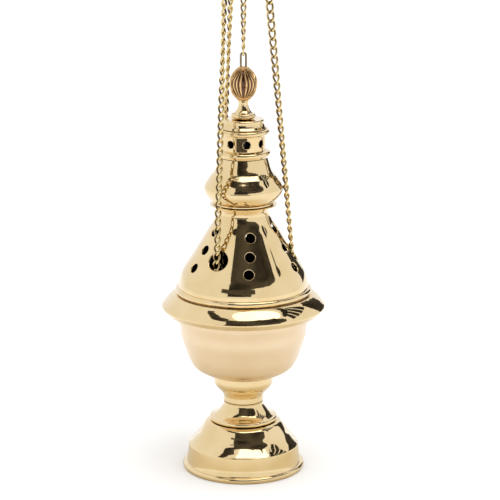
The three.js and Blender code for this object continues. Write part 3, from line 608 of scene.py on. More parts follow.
def drill(outline, bearing, height, radius, depth=4.5):
    """Corners and faces of a drill that stands square to the wall at a bearing and a height."""
    slope = radius_at(outline, height + 1) - radius_at(outline, height - 1)
    way = direction(bearing) * 2 - [0, 0, slope]
    way /= np.linalg.norm(way)
    side = np.cross([0, 0, 1], way)
    side /= np.linalg.norm(side)
    rise = np.cross(way, side)
    centre = at(bearing, radius_at(outline, height), height)
    turns = np.arange(DRILL_STEPS) * 2 * math.pi / DRILL_STEPS
    rays = [math.cos(a) * side + math.sin(a) * rise for a in turns]
    rings = [[centre + ray * radius - way * depth for ray in rays]]
    for share in np.linspace(0, 1, RIM_RINGS):
        wide = radius + RIM_EASE * (1 - math.cos(share * math.pi / 2))
        deep = RIM_EASE * (1 - math.sin(share * math.pi / 2))
        starts = [centre + ray * wide for ray in rays]
        rings.append([p + way * (leaves_wall(outline, p, way) - deep) for p in starts])
    rings.append([p + way * PAST_WALL for p in rings[-1]])
    points = [p for ring in rings for p in ring]
    faces = [list(range(DRILL_STEPS))[::-1]]
    for i in range(len(rings) - 1):
        for k in range(DRILL_STEPS):
            n = (k + 1) % DRILL_STEPS
            low = i * DRILL_STEPS
            high = low + DRILL_STEPS
            faces.append([low + k, low + n, high + n, high + k])
    faces.append([(len(rings) - 1) * DRILL_STEPS + k for k in range(DRILL_STEPS)])
    return points, faces


print("a drill has", DRILL_STEPS, "sides and a rim of", RIM_EASE, "mm")

# %% [markdown]
# A Boolean modifier cuts all the drills out at once. It leaves long thin faces round each hole, and a mirror
# shows the smallest bend between them. So each corner that lies on the turned wall gets back the direction
# that the outline has there, and the wall mirrors as if it had never been cut.

# %% Cutting the holes
SAME_WAY = 0.9
ON_WALL = 0.06
NO_LENGTH = 1e-9


def drilled(obj, drills, outline):
    """Cuts the drills out of a turned piece and gives its walls back their true roundness."""
    points, faces = [], []
    for some, theirs in drills:
        faces += [[c + len(points) for c in face] for face in theirs]
        points += some
    cutter = add_mesh("drills", points, faces, [])
    cut = obj.modifiers.new("holes", "BOOLEAN")
    cut.object, cut.solver = cutter, "EXACT"
    graph = bpy.context.evaluated_depsgraph_get()
    mesh = bpy.data.meshes.new_from_object(obj.evaluated_get(graph))
    obj.modifiers.clear()
    obj.data = mesh
    bpy.data.objects.remove(cutter)
    mesh.set_sharp_from_angle(angle=SHARP_ANGLE)
    round_normals(mesh, outline)


def long_as_one(ways):
    """Directions shortened to length one. One without a length stays zero."""
    return ways / np.maximum(np.linalg.norm(ways, axis=1), NO_LENGTH)[:, None]


def nearest_stretch(line, ahead, length, flat, middles, facing):
    """For each face, the outline's nearest stretch that looks its way, and how far off that is."""
    near, best = np.zeros(len(middles), np.int32), np.full(len(middles), np.inf)
    for i in range(len(line)):
        t = np.clip(((middles - line[i]) @ ahead[i]) / length[i] ** 2, 0, 1)
        gap = np.linalg.norm(middles - line[i] - t[:, None] * ahead[i], axis=1)
        closer = (gap < best) & (facing @ flat[i] > SAME_WAY)
        best[closer], near[closer] = gap[closer], i
    return near, best


def round_normals(mesh, outline):
    """Faces that lie on the turned outline take the outline's own normals, for a clean mirror."""
    line = np.array(outline)
    ahead = np.roll(line, -1, 0) - line
    length = np.maximum(np.linalg.norm(ahead, axis=1), NO_LENGTH)
    flat = np.stack([ahead[:, 1], -ahead[:, 0]], 1) / length[:, None]
    turned_way = long_as_one(flat + np.roll(flat, 1, 0))

    faces = len(mesh.polygons)
    totals = read(mesh.polygons, "loop_total", kind=np.int32)
    owner = np.repeat(np.arange(faces), totals)
    corners = corners_of(mesh)[read(mesh.loops, "vertex_index", kind=np.int32)]
    flat_place = np.stack([np.hypot(corners[:, 0], corners[:, 1]), corners[:, 2]], 1)
    middles, centres = np.zeros((faces, 2)), np.zeros((faces, 3))
    np.add.at(middles, owner, flat_place)
    np.add.at(centres, owner, corners)
    middles /= totals[:, None]
    facing = read(mesh.polygons, "normal", 3, np.float32)
    facing = np.stack([(facing[:, :2] * long_as_one(centres[:, :2])).sum(1), facing[:, 2]], 1)
    near, best = nearest_stretch(line, ahead, length, flat, middles, facing)

    chosen = near[owner]
    t = np.clip(((flat_place - line[chosen]) * ahead[chosen]).sum(1) / length[chosen] ** 2, 0, 1)[:, None]
    mixed = long_as_one(turned_way[chosen] * (1 - t) + turned_way[(chosen + 1) % len(line)] * t)
    exact = np.concatenate([long_as_one(corners[:, :2]) * mixed[:, :1], mixed[:, 1:]], 1)
    normals = read(mesh.corner_normals, "vector", 3, np.float32)
    use = (best < ON_WALL)[owner]
    normals[use] = exact[use]
    mesh.normals_split_custom_set(normals.tolist())
    print(f"{use.mean():.0%} of the corners lie on the turned wall")


# %% [markdown]
# ## Lid bell
# The tall bell of the lid starts with a rolled bead that rests on the bowl's rim, with a short spigot
# inside that keeps it centred. It was spun and polished before it was drilled, and is made in the same order
# here. The wall outside is brass, and the stretch of the outline inside it takes the soot and painted shade.

# %% Lid bell
LID_SHEET = 1.0
SPIGOT_INSIDE, SPIGOT_OUTSIDE, spigot_low = 38.0, 39.0, 109.0
bell_base, bell_foot, bell_neck, bell_top = 113.7, 117.4, 164.1, 169.7
throat = (15.4, bell_top)
bell_outside = smooth([
    (40.3, bell_foot), (40.1, 120.7), (37.8, 127.8), (32.4, 136.3), (26.7, 145.4), (22.1, 153.1),
    (17.9, 159.4), (16.4, 163.6), (16.8, 166.0), (18.5, 167.8), (20.9, 169.4),
], 90)
bell_within = [p for p in beside(bell_outside, LID_SHEET) if p[1] < bell_neck]
bell_outer = [
    (SPIGOT_INSIDE, spigot_low), (SPIGOT_OUTSIDE, spigot_low), (SPIGOT_OUTSIDE, bell_base),
    *arc(40.5, 115.55, 1.85, -90, 90, 18), *bell_outside, (20.3, bell_top), throat,
]
bell_loop = eased([*bell_outer, *bell_within[::-1], (SPIGOT_INSIDE, bell_foot)], 0.3)
sooty_shaded_from = min(range(len(bell_loop)), key=lambda i: math.dist(bell_loop[i], throat)) + 3
bell = turned("bell", bell_loop, [mirror_brass, soot_and_shade], inner=(sooty_shaded_from, len(bell_loop) + 1))
print("the bell's outline has", len(bell_loop), "points, and soot from point", sooty_shaded_from)

# %% [markdown]
# Six columns of three small vents let the smoke out, and three larger holes let the carrying chains through.
# Three columns show in the photo. They aren't quite even, and each leans a little, as a hand that drills by
# eye leaves them. The three at the back carry on their rhythm.

# %% Holes in the bell
CHAIN_HOLE, chain_hole_height = 6.4, 139.5
VENT = 3.1
chain_hole_bearings = [-30.6, 89.4, 209.4]
vent_lean = [-2.6, 0, 2.9]
vent_columns = {
    -58.2: [132.8, 143.6, 154.4], 8.2: [133.0, 142.3, 152.8], 68: [132.8, 144.0, 155.6],
    125: [132.8, 143.3, 154.4], 182: [132.8, 143.3, 154.4], 242: [132.8, 143.3, 154.4],
}
drills = [drill(bell_outside, bearing, chain_hole_height, CHAIN_HOLE, 5.5) for bearing in chain_hole_bearings]
for bearing, heights in vent_columns.items():
    drills += [drill(bell_outside, bearing + lean, height, VENT) for height, lean in zip(heights, vent_lean)]
drilled(bell, drills, bell_loop)
belongs(bell, "lid", "polished_brass", "lid_bell")
print("holes in the bell:", len(drills))

# %% [markdown]
# ## Bulge, lantern and cap
# Above the bell's waist sits a hollow bulge, then a short drum with eight small holes between two beads,
# and a stepped cap. These are separate castings, clamped together by one rod down the middle. Made apart
# here too, they keep the dark seam between each two.

# %% Bulge
bulge_outside = [
    (18.75, 170.0),
    *smooth([(18.75, 170.9), (21.8, 173.5), (24.4, 179.9), (20.5, 186.9), (18.6, 189.0),
             (17.2, 191.1), (15.9, 195.4), (14.9, 198.8)], 54),
]
bulge_within = beside(bulge_outside, LID_SHEET)
bulge_loop = eased([*bulge_outside, *bulge_within[::-1]], 0.25)
belongs(turned("bulge", bulge_loop, [mirror_brass]), "lid", "polished_brass", "lid_bulge")

# %% [markdown]
# The drum between the beads is called the lantern. Its eight holes stand at equal spaces, because a casting
# is drilled on a dividing head, and the first one is nine degrees to the right, as the photo shows it. Only
# its bore takes the soot and painted shade.

# %% Lantern
LANTERN_HOLES, LANTERN_HOLE = 8, 2.3
FIRST_HOLE, lantern_hole_height = 9, 208.3
lantern_base, lantern_top, lantern_bore = 199.1, 216.6, 12.45
lantern_outside = [
    (15.1, lantern_base), *arc(15.1, 201.6, 1.6, -60, 80), (13.65, 203.8), (13.65, 212.8),
    *arc(14.6, 214.9, 1.5, -80, 80), (14.4, lantern_top),
]
lantern_loop = eased([(lantern_bore, lantern_base), *lantern_outside, (lantern_bore, lantern_top)], 0.25)
sooty_shaded_stretch = (len(lantern_loop) - 5, len(lantern_loop) + 1)
lantern = turned("lantern", lantern_loop, [mirror_brass, soot_and_shade], inner=sooty_shaded_stretch)
hole_bearings = [FIRST_HOLE + 360 / LANTERN_HOLES * k for k in range(LANTERN_HOLES)]
drills = [drill(lantern_outside, bearing, lantern_hole_height, LANTERN_HOLE, 3) for bearing in hole_bearings]
drilled(lantern, drills, lantern_loop)
belongs(lantern, "lid", "polished_brass", "lid_lantern")

# %% [markdown]
# The cap is a solid turned piece with one step, which closes the lantern. Only the bore for the rod goes
# through it.

# %% Cap
ROD_BORE = 1.6
cap = [
    (ROD_BORE, 216.9), (14.4, 216.9), (14.4, 217.3), (13.1, 218.5), (12.6, 219.7), (12.6, 221.8),
    (12.1, 222.5), (ROD_BORE, 222.5),
]
belongs(turned("cap", eased(cap, 0.3), [mirror_brass]), "lid", "polished_brass", "lid_cap")

# %% [markdown]
# ## Finial
# A thick disc with a round edge and a slim hollow curved stem, turned in one piece, carry the bud.

# %% Finial stem
finial_base, bud_base, bud_tip = 222.8, 233.9, 254.9
finial = [
    (ROD_BORE, finial_base), (5.6, finial_base), *arc(6.0, finial_base + 1.6, 1.6, -80, 80),
    *smooth([(5.8, 226.1), (4.5, 227.4), (3.4, 229.4), (2.9, 231.6), (3.5, 233.6)], 24), (ROD_BORE, 233.6),
]
finial_piece = turned("finial", eased(finial, 0.3), [mirror_brass], turns=96)
belongs(finial_piece, "lid", "polished_brass", "finial_stem")

# %% [markdown]
# The bud is a cast egg wrapped in three pointed petals, each drawn with nested raised lines round a hollow.
# It could be sculpted, or a Displace modifier could raise the lines. Here a finely divided egg is pushed in
# and out by a formula, because the same numbers then say where the tarnish stays.

# %% Bud
PETALS = 3
FIRST_LINE, LINE_SPACE = 0.25, 0.27
HEART_WIDTH = 0.1
SLIMMEST = 0.08
bud_line = smooth([(3.5, bud_base), (6.7, 237.4), (8.1, 241.4), (8.4, 244.9), (7.7, 248.2), (5.4, 251.9),
                   (2.6, 254.2), (0.4, 254.8)], 170)
bud = turned("bud", [(0, bud_base), *bud_line, (0, bud_tip)], [cast_brass], turns=384, ring=False)


def petal_ridges(angle, share):
    """Between 0 in a hollow and 1 on a raised line, at an angle and a share of the bud's height."""
    aside = np.abs((angle * PETALS / (2 * math.pi)) % 1.0 - 0.5) * 2
    almond = np.clip(np.sin(np.clip(share, 0, 1) * math.pi), SLIMMEST, 1) ** 0.8
    ring = aside / almond
    lines = (0.5 + 0.5 * np.cos((ring - FIRST_LINE) / LINE_SPACE * 2 * math.pi)) ** 1.3
    heart = np.exp(-(((ring - FIRST_LINE) / HEART_WIDTH) ** 2))
    return np.where(ring < FIRST_LINE, heart, lines)


print("raised lines across a petal:", np.round(petal_ridges(np.linspace(0, math.pi / 3, 7), 0.5), 2))

# %% [markdown]
# The lines fade out towards both ends of the bud, where the cast is smooth and the wheel reaches all of it.
# A line stands nearly at the egg's own skin, and the hollows go in below it.

# %% Relief of the bud
RELIEF = 0.85
SKIN_LEVEL = 0.92
FADE_SLOPE, FADE_START = 3, 0.25
POLE = 1
END_GLOSS = 0.8
skin = corners_of(bud.data)
share = (skin[:, 2] - bud_base) / (bud_tip - bud_base)
front_turn = math.pi / 2 + math.pi / PETALS
ridges = petal_ridges(np.arctan2(skin[:, 1], skin[:, 0]) + front_turn, share)
fade = np.clip(np.sin(np.clip(share, 0, 1) * math.pi) * FADE_SLOPE - FADE_START, 0, 1)
reach = np.maximum(np.hypot(skin[:, 0], skin[:, 1]), ON_AXIS)
skin[:, :2] *= (1 + np.where(reach > POLE, fade * RELIEF * (ridges - SKIN_LEVEL), 0) / reach)[:, None]
bud.data.vertices.foreach_set("co", to_frame(skin).ravel())
bud.data.update()
mark_bright_share(bud, ridges * fade + END_GLOSS * (1 - fade))
belongs(bud, "lid", "polished_brass", "finial_bud")

# %% [markdown]
# ## Chains
# The chains are curb chain: each link is an oval of brass wire, twisted so that its two ends stand at a
# right angle. That twist makes the chain lie flat, and shows in the photo as a row of slanted loops.
# An Array modifier could repeat one link, but here each one also turns a little further than the last.

# %% A link's line
LINK_STEPS = 40
WIRE_SIDES = 12
TWIST = math.pi / 4


def link_line(half_width, half_length, twist_low, twist_high):
    """The middle of a link's wire. Each half is twisted by its own angle about the link's length."""
    turns = np.arange(LINK_STEPS) * 2 * math.pi / LINK_STEPS
    across = half_width * np.sign(np.cos(turns)) * np.abs(np.cos(turns)) ** 0.76
    height = half_length * np.sin(turns)
    share = height / half_length
    angle = np.where(share < 0, share * twist_low, share * twist_high)
    return np.stack([across * np.cos(angle), height, -across * np.sin(angle)], 1)


print("a plain link is", np.round(np.ptp(link_line(1.88, 3.3, 0, 0), 0), 2), "mm between its wire's middles")

# %% [markdown]
# A run is laid between the same points as in the frame. Its links are as many as its length holds, and their
# length is fitted so that each just touches the next. The end links keep one half untwisted, where they pass
# through an eye. Each carrying chain also turns a quarter as it climbs, to meet its eye in the plate.

# %% Runs of chain
SLACK = 0.02


def chain_run(name, size, start, end, across, turn, plain_start, plain_end, body, node_name):
    """Interlinked curb links between the wire centres at start and end, turning from one angle to another."""
    start, end = np.asarray(start, float), np.asarray(end, float)
    up = end - start
    length = np.linalg.norm(up)
    up /= length
    side = across - up * (across @ up)
    side /= np.linalg.norm(side)
    normal = np.cross(side, up)
    frame_half = (size["pitch"] + 2 * size["frame_wire"] - size["weld"]) / 2
    steps = round((length - 2 * frame_half) / size["pitch"])
    half = (length + steps * (size["wire"] + SLACK)) / (2 * steps + 2)
    pitch = (length - 2 * half) / steps
    lines = []
    for i in range(steps + 1):
        low = 0 if plain_start and i == 0 else TWIST
        high = 0 if plain_end and i == steps else TWIST
        link = link_line(size["half_width"], half, low, high)
        angle = turn[0] + (turn[1] - turn[0]) * i / steps
        x = link[:, 0] * math.cos(angle) + link[:, 2] * math.sin(angle)
        z = link[:, 2] * math.cos(angle) - link[:, 0] * math.sin(angle)
        height = link[:, 1] + half + i * pitch
        lines.append(start + x[:, None] * side + height[:, None] * up + z[:, None] * normal)
    run = swept(name, lines, size["wire"] / 2, [chain_wire], WIRE_SIDES, side_hint=tuple(normal + up * 0.3))
    # the inner side of each link turns brown: tarnish, and painted shade where the links shade each other
    mark_bright_share(run, outer_side(lines, corners_of(run.data), WIRE_SIDES))
    belongs(run, body, "chain_brass", node_name)
    return steps + 1


carry_size = {"wire": 1.38, "frame_wire": 0.55, "half_width": 1.88, "pitch": 5.35, "weld": 0.2}
lid_size = {"wire": 1.2, "frame_wire": 0.5, "half_width": 1.55, "pitch": 4.9, "weld": 0.2}
print("links of", carry_size["wire"], "and", lid_size["wire"], "mm wire")

# %% [markdown]
# Each carrying chain starts at an eye on a lug inside the bowl, passes through the lid's chain hole, and
# ends at an eye under the handle plate. It is cut in two at the height where it bends as the lid rises: one
# straight run can't follow the lid, and the two runs ride on the two bodies that meet in that knee. A run
# reaches past each of its points by a small gap, because a link's wire lies beyond what it hangs on. In the
# photo the three chains show their links at different slants, so each has turned differently at the knee.

# %% Carrying chains
THIRD = 120
LUG_BEARING, LUG_RADIUS, LUG_HEIGHT = -31.5, 32.9, 107.1
EYE_BEARING, EYE_RADIUS, EYE_HEIGHT = -37.8, 16.14, 303.0
PLATE_SHIFT = -1.3
KNEE_HEIGHT = 228.0


def eye_place(i, height):
    """The axis of chain eye i at a height. The whole plate hangs a little to the left."""
    return at(EYE_BEARING + THIRD * i, EYE_RADIUS, height) + [PLATE_SHIFT, 0, 0]


lug_gap, knee_gap, carry_gap = 1.05, 0.8, 1.9
turn_at_knee = [-math.pi / 8, math.pi / 5, math.pi / 4]
turn_at_plate = [-math.pi / 2, math.pi / 2, math.pi / 2]
for i in range(3):
    lug_bearing = LUG_BEARING + THIRD * i
    lug_point = at(lug_bearing, LUG_RADIUS, LUG_HEIGHT)
    carry_point = eye_place(i, EYE_HEIGHT)
    knee_share = (KNEE_HEIGHT - lug_point[2]) / (carry_point[2] - lug_point[2])
    knee_point = lug_point + (carry_point - lug_point) * knee_share
    up = (carry_point - lug_point) / np.linalg.norm(carry_point - lug_point)
    across = np.cross([0, 0, 1], direction(lug_bearing))
    lower, upper = f"chain_lower_{i + 1}", f"chain_upper_{i + 1}"
    count = chain_run(f"lower_chain_{i + 1}", carry_size, lug_point - up * lug_gap,
                      knee_point + up * knee_gap, across, (0, turn_at_knee[i]),
                      True, False, lower, lower)
    count += chain_run(f"upper_chain_{i + 1}", carry_size, knee_point - up * knee_gap,
                       carry_point + up * carry_gap, across, (turn_at_knee[i], turn_at_plate[i]),
                       False, True, upper, upper)
    print("carrying chain", i + 1, "has", count, "links")

# %% [markdown]
# The lid chain hangs from the pull ring through the plate's middle hole. A long wire link joins it to two
# small holes at the bud's tip. The photo shows it browner than the chains, so its bright_share numbers are
# taken down.

# %% Lid chain and its wire link
link_height, link_half, link_wide, link_wire = 257.3, 5.6, 1.6, 0.62
LINK_SHINE = 0.6
bud_loop = []
for angle in np.radians(np.arange(3.75, 360, 7.5)):
    end_height = link_height + math.copysign(link_half - link_wide, math.sin(angle))
    bud_loop.append((link_wide * math.cos(angle), 0, end_height + link_wide * math.sin(angle)))
bud_link = swept("bud_link", [bud_loop], link_wire, [chain_wire], WIRE_SIDES)
# the inner side of the wire link turns brown: tarnish, and painted shade
mark_bright_share(bud_link, LINK_SHINE * outer_side([bud_loop], corners_of(bud_link.data), WIRE_SIDES))
belongs(bud_link, "lid", "chain_brass", "lid_link")
count = chain_run("lid_pull_chain", lid_size, [0, 0, 261.35], [0, 0, 312.3], np.array([0, 1.0, 0]),
                  (0, math.pi / 2), True, True, "lid", "lid_chain")
print("the lid chain has", count, "links")

# %% [markdown]
# ## Handle plate, bow and rings
# The top is outside the photo, so it follows the usual pattern: a round plate that gathers the chains, a
# bow bolted through it to hold by, and two rings to hang from. The plate is turned about its own middle and
# then shifted, because the three eyes in it hang a little left of the burner's axis.

# %% Handle plate
plate_base, plate_top, plate_rim, plate_hole = 307.9, 309.4, 18.9, 5.2
plate_loop = [
    (plate_hole, plate_base), (plate_rim, plate_base), *arc(plate_rim, 308.65, 1.1, -60, 60),
    (plate_rim, plate_top), (plate_hole, plate_top),
]
plate = turned("plate", eased(plate_loop, 0.2), [mirror_brass])
plate.data.transform(Matrix.Translation((PLATE_SHIFT * MM, 0, 0)))
belongs(plate, "burner", "polished_brass", "handle_plate")

# %% [markdown]
# An eye is a ring of wire on a shank that is riveted over on top of the plate. It stands across the last
# link of its chain. The shank is turned on the main axis, as everything else, and then moved over the eye.

# %% Chain eyes
SEAM = 0.3
EYE_RING, EYE_WIRE, eye_middle = 2.0, 0.6, 305.0
SHANK, shank_low, rivet_top = 0.8, 306.7, 310.5


def circle(radius, around=96):
    turns = np.arange(around) * 2 * math.pi / around
    return list(zip(np.cos(turns) * radius, np.sin(turns) * radius))


for i in range(3):
    place = eye_place(i, 0)
    tangent = np.cross([0, 0, 1], direction(LUG_BEARING + THIRD * i + 90))
    ring = [place + tangent * w + [0, 0, eye_middle + t] for w, t in circle(EYE_RING, 40)]
    eye = swept(f"plate_eye_{i + 1}", [ring], EYE_WIRE, [mirror_brass], 12)
    shank = turned(f"eye_shank_{i + 1}", eased([
        (0, shank_low), (SHANK, shank_low), (SHANK, plate_top + SEAM), (1.6, plate_top + SEAM),
        (1.2, rivet_top), (0, rivet_top),
    ], 0.2, False), [mirror_brass], turns=32, ring=False)
    shank.data.transform(Matrix.Translation(Vector(place) * MM))
    belongs(eye, "burner", "polished_brass", f"chain_eye_{i + 1}")
    belongs(shank, "burner", "polished_brass")

# %% [markdown]
# The bow is one rod, bent over a round former into a half circle with two straight legs through the plate.
# A line of points is enough for it, because the wire helper keeps its section round in the bend.

# %% Bow
BOW_HALF, BOW_ROD = 13.5, 1.5
leg_low, shoulder = 303.8, 358.0
bow_turn = np.radians(np.linspace(180, 0, 41))
bow_line = [(0, -BOW_HALF, z) for z in np.linspace(leg_low, shoulder, 60)[:-1]]
bow_line += [(0, BOW_HALF * math.cos(a), shoulder + BOW_HALF * math.sin(a)) for a in bow_turn]
bow_line += [(0, BOW_HALF, z) for z in np.linspace(shoulder, leg_low, 60)[1:]]
bow = swept("bow_rod", [bow_line], BOW_ROD, [mirror_brass], 24, closed=False, side_hint=(1, 0, 0))
belongs(bow, "burner", "polished_brass", "bow")

# %% [markdown]
# Two rings hang the bow: the jump ring stands at a right angle to the bow and to the hanging ring above it,
# as links do. The pull ring ends the lid chain, and lies on the plate over the hole that it comes up through.
# A torus would do for each, but as wires they share the helper of the chains.

# %% Rings
JUMP_RADIUS, JUMP_WIRE, jump_middle = 8.0, 1.29, 376.4
HANG_RADIUS, HANG_WIRE, hang_middle = 14.0, 1.59, 395.2
PULL_RADIUS, PULL_WIRE, pull_height = 6.0, 0.79, 310.5
jump_line = [(w, 0, jump_middle + t) for w, t in circle(JUMP_RADIUS)]
jump = swept("jump_ring_wire", [jump_line], JUMP_WIRE, [mirror_brass], 20)
belongs(jump, "jump_ring", "polished_brass", "jump_ring")
hang_line = [(0, w, hang_middle + t) for w, t in circle(HANG_RADIUS)]
hang = swept("hanging_ring_wire", [hang_line], HANG_WIRE, [mirror_brass], 24, side_hint=(1, 0, 0))
belongs(hang, "hanging_ring", "polished_brass", "hanging_ring")
pull_line = [(w - PULL_RADIUS, t, pull_height) for w, t in circle(PULL_RADIUS, 72)]
pull = swept("pull_ring_wire", [pull_line], PULL_WIRE, [mirror_brass], 16)
belongs(pull, "pull_ring", "polished_brass", "pull_ring")

# %% [markdown]
# ## The small fittings
# Lugs, rivets, nuts, bridge and rod are plain pieces that the frame already shapes truly. Making them again
# would show nothing new, so they only take their finish: steel for the rod, the bridge and the nuts inside,
# and brass for the rest.

# %% Finishes of the kept nodes
steel_nodes = ("bowl_nut", "lid_bridge", "lid_rod", "lid_rod_nut")
for name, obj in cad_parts.items():
    if obj.hide_render:
        continue
    look = zinc_steel if name in steel_nodes else mirror_brass
    for holder in obj.material_slots:
        holder.link = "OBJECT"
        holder.material = look
print("kept nodes:", sorted(n for n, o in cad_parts.items() if not o.hide_render))

# %% [markdown]
# ## White paper
# The photo's background is pure white. A matt sheet of paper under the burner gives that, and what little
# shine it has is turned down, so it doesn't mirror the lamp as a pale spot.

# %% Floor
scene = bpy.context.scene
scene.view_settings.view_transform = "Standard"
FLOOR_HALF = 30.0
UNDER_FOOT = 0.05
PAPER_ROUGH = 0.9
floor_z = (-HANG_HEIGHT - UNDER_FOOT) * MM


def matt_look(name, settings, cloud_mm, detail, stops):
    """Matt paper or cloth that is faintly cloudy."""
    look, tree, shader = new_material(name, settings)
    colour = node(tree, "ShaderNodeValToRGB", {"stops": stops}, {"Fac": pattern(tree, cloud_mm, detail)})
    tree.links.new(colour.outputs["Color"], shader.inputs["Base Color"])
    return look


def stage_sheet(name, points, faces, look, mirrored_only=True):
    """A sheet of the studio. One that is only mirrored takes no part in the picture, light or shadows."""
    mesh = bpy.data.meshes.new(name)
    mesh.from_pydata(points, [], faces)
    mesh.materials.append(look)
    obj = bpy.data.objects.new(name, mesh)
    bpy.context.collection.objects.link(obj)
    if mirrored_only:
        obj.visible_camera = obj.visible_diffuse = obj.visible_shadow = False
    return obj


paper = matt_look("white_paper", {"Roughness": PAPER_ROUGH, "Specular IOR Level": 0.1}, 400, 1,
                  [(0.35, "#FBFBFB"), (0.65, "#FEFEFE")])
floor_corners = [(x * FLOOR_HALF, y * FLOOR_HALF, floor_z) for x, y in ((-1, -1), (1, -1), (1, 1), (-1, 1))]
stage_sheet("white_paper", floor_corners, [(0, 1, 2, 3)], paper, mirrored_only=False)
print("the paper lies", round(floor_z, 5), "m from the ring")

# %% [markdown]
# The low parts of the burner mirror the paper round their own foot, and the photo shows it there as a shade
# darker and warmer than the cleaned up background. A darker floor would show in the background too, so a
# round sheet that only reflections see lies on it, and fades from the middle out.

# %% Shaded paper round the foot
SHADE_RADIUS, SHADE_SIDES = 0.2, 60
SHADE_FULL, SHADE_GONE = 0.085, 0.175
ABOVE_PAPER = 0.04
shaded_paper, tree, shader = new_material("shaded_paper", {"Roughness": PAPER_ROUGH})
place = node(tree, "ShaderNodeTexCoord")
reach = node(tree, "ShaderNodeVectorMath", {"operation": "LENGTH"}, {"Vector": place.outputs["Object"]})
# painted shade: the sheet is darker and warmer near the foot and fades to white further out
shade_tint = node(tree, "ShaderNodeValToRGB",
                  {"stops": [(SHADE_FULL, "#E2DAC8"), (SHADE_GONE, "#FBFBFB")]},
                  {"Fac": reach.outputs["Value"]})
tree.links.new(shade_tint.outputs["Color"], shader.inputs["Base Color"])
shade_turns = [math.radians(a) for a in range(0, 360, 360 // SHADE_SIDES)]
shade_corners = [(SHADE_RADIUS * math.sin(a), SHADE_RADIUS * math.cos(a), 0) for a in shade_turns]
shade = stage_sheet("shaded_paper", shade_corners, [list(range(SHADE_SIDES))], shaded_paper)
shade.location = (0, 0, floor_z + ABOVE_PAPER * MM)
print("the shade is gone", SHADE_GONE, "m from the axis")

# %% [markdown]
# Polished metal shows the room more than itself, so the room has to be there: pure white all round. A
# picture of a studio could light it, but this brass was photographed in front of nothing else. At a strength
# of one, a colour renders about as it is written.

# %% World
world = bpy.data.worlds.new("white_room")
world.use_nodes = True
room = world.node_tree.nodes["Background"].inputs
room["Color"].default_value = (1, 1, 1, 1)
room["Strength"].default_value = 1.0
scene.world = world
print("the room is lit at a strength of", room["Strength"].default_value)

# %% [markdown]
# ## Dark cards
# A few dark things stand behind the camera and to the right, and the brass mirrors them as the dark strip
# down the bell and the stripes at its edge. A photographer sets up black cards for such edges. The corners
# of each card are the directions in which the brass, as shaped above, mirrors the edges of a dark patch in
# the photo. The cards are seen by reflections alone, so the paper stays evenly lit.

# %% Card helpers
CARD_DISTANCE = 2.4
CARD_STEPS, CARD_ROWS = 10, 12
card_centre = Vector((0, 0, -0.22))
dark_cloth = matt_look("dark_grey_cloth", {"Roughness": 0.95}, 1100, 0,
                       [(0.38, "#1F1B17"), (0.66, "#4A4640")])


def toward(bearing, elevation):
    rise = math.radians(elevation)
    return Vector(direction(bearing)) * math.cos(rise) + Vector((0, 0, math.sin(rise)))


def card(name, one_edge, other_edge, ragged=0.0, distance=CARD_DISTANCE, centre=card_centre):
    """A dark sheet round the burner between two edges of (bearing, elevation) corners, in degrees."""
    one, other = np.array(one_edge, float), np.array(other_edge, float)
    points, faces = [], []
    for j in range((len(one) - 1) * CARD_ROWS + 1):
        i = min(j // CARD_ROWS, len(one) - 2)
        share = j / CARD_ROWS - i
        start = one[i] + (one[i + 1] - one[i]) * share
        end = other[i] + (other[i + 1] - other[i]) * share
        end = end + ragged * (math.sin(j * 0.9) + math.sin(j * 0.37 + 1) + 0.5 * math.sin(j * 1.7 + 2)) / 2
        for step in range(CARD_STEPS + 1):
            points.append(centre + toward(*(start + (end - start) * step / CARD_STEPS)) * distance)
    width = CARD_STEPS + 1
    for low in range(0, len(points) - width, width):
        faces += [(low + i, low + i + 1, low + width + i + 1, low + width + i) for i in range(CARD_STEPS)]
    stage_sheet(name, points, faces, dark_cloth)


print("straight ahead is", [round(v, 3) for v in toward(0, 0)])

# %% [markdown]
# The widest cloth hangs in front, behind the camera, and gives the bell its dark strip. Two beams high on
# either side give dark arcs on the upper slopes. The slats stand to the right like the ribs of a blind, and
# a doorway darkens the right edge. One small card stands close in front of the lantern and darkens it alone.

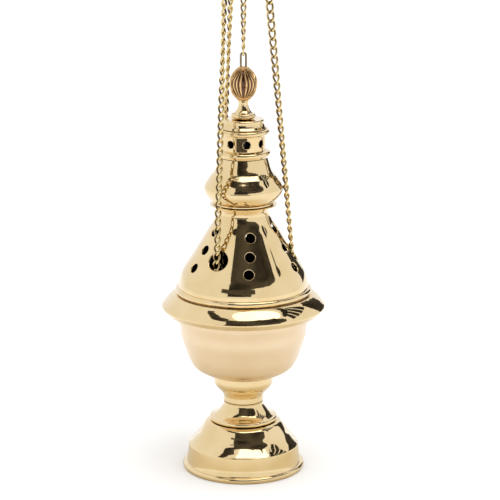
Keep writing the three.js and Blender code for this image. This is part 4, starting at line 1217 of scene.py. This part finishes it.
# %% Dark cards
card("dark_cloth_in_front",
     [(-28, 7), (-27, 20), (-27, 23), (-28, 31), (-27, 39), (-30, 46), (-33, 53), (-34, 57)],
     [(13, 7), (14, 20), (50, 23), (67, 31), (74, 39), (72, 46), (60, 53), (36, 57)], 1.3)
card("dark_beam_on_the_left", [(-110, 61), (-80, 57), (-58, 50), (-33, 50)],
     [(-110, 66), (-80, 66), (-58, 63), (-33, 61)], 1.0)
card("dark_beam_on_the_right", [(150, 60), (125, 56), (98, 50), (80, 45)],
     [(150, 66), (125, 63), (98, 57), (80, 50)], 1.0)
SLATS, SLAT_SPACE, FIRST_SLAT = 4, 11.5, 83
for k in range(SLATS):
    left = FIRST_SLAT + SLAT_SPACE * k
    card(f"dark_slat_{k + 1}", [(left, 33), (left + 2, 44), (left + 5, 56)],
         [(left + 9, 34), (left + 11, 44), (left + 13, 54)])
card("dark_doorway", [(131, -8), (129, 12), (127, 24), (130, 36)],
     [(152, -8), (153, 12), (150, 24), (144, 36)], 1.5)
card("dark_card_before_the_lantern", [(-36, -7), (-36, -11), (-36, -15)], [(19, -7), (19, -11), (19, -15)],
     0.6, 0.2, Vector((0, 0, -0.2)))

# %% [markdown]
# ## Lamp
# One broad soft lamp hangs high on the right. It lifts the upper sides a little and lays a faint soft shadow.
# The white room does the rest. A small hard lamp would burn white spots into the mirror.

# %% Lamp
lamp_way = toward(40, 69)
lamp_data = bpy.data.lights.new("overhead_softbox", "AREA")
lamp_data.shape, lamp_data.size, lamp_data.energy = "DISK", 2.8, 28
lamp = bpy.data.objects.new("overhead_softbox", lamp_data)
lamp.location = card_centre + lamp_way * 3.2
lamp.rotation_euler = lamp_way.to_track_quat("Z", "Y").to_euler()
bpy.context.collection.objects.link(lamp)
print("the lamp has", lamp_data.energy, "W over", lamp_data.size, "m")

# %% [markdown]
# ## Camera
# The camera stands 1.3 metres in front, a little above the top ring, and looks down by fourteen degrees: the
# rims show as flat ellipses, and the long lens keeps the sides almost parallel. The frame is shifted
# slightly, because the burner hangs left of the picture's middle. The lens and the tilt were solved from
# measured places of the foot, the rims and the bud. Guessed by eye, they would bend every other measure.

# %% Camera
camera_data = bpy.data.cameras.new("photo_camera")
camera_data.lens = 156.09
camera_data.sensor_width = 36
camera_data.shift_x = 0.0132
camera = bpy.data.objects.new("photo_camera", camera_data)
camera.location = (0, -1.3, 0.059184)
camera.rotation_euler = (math.radians(75.8847), 0, 0)
bpy.context.collection.objects.link(camera)
scene.camera = camera
print("a lens of", round(camera_data.lens, 1), "mm at", tuple(round(v, 3) for v in camera.location))
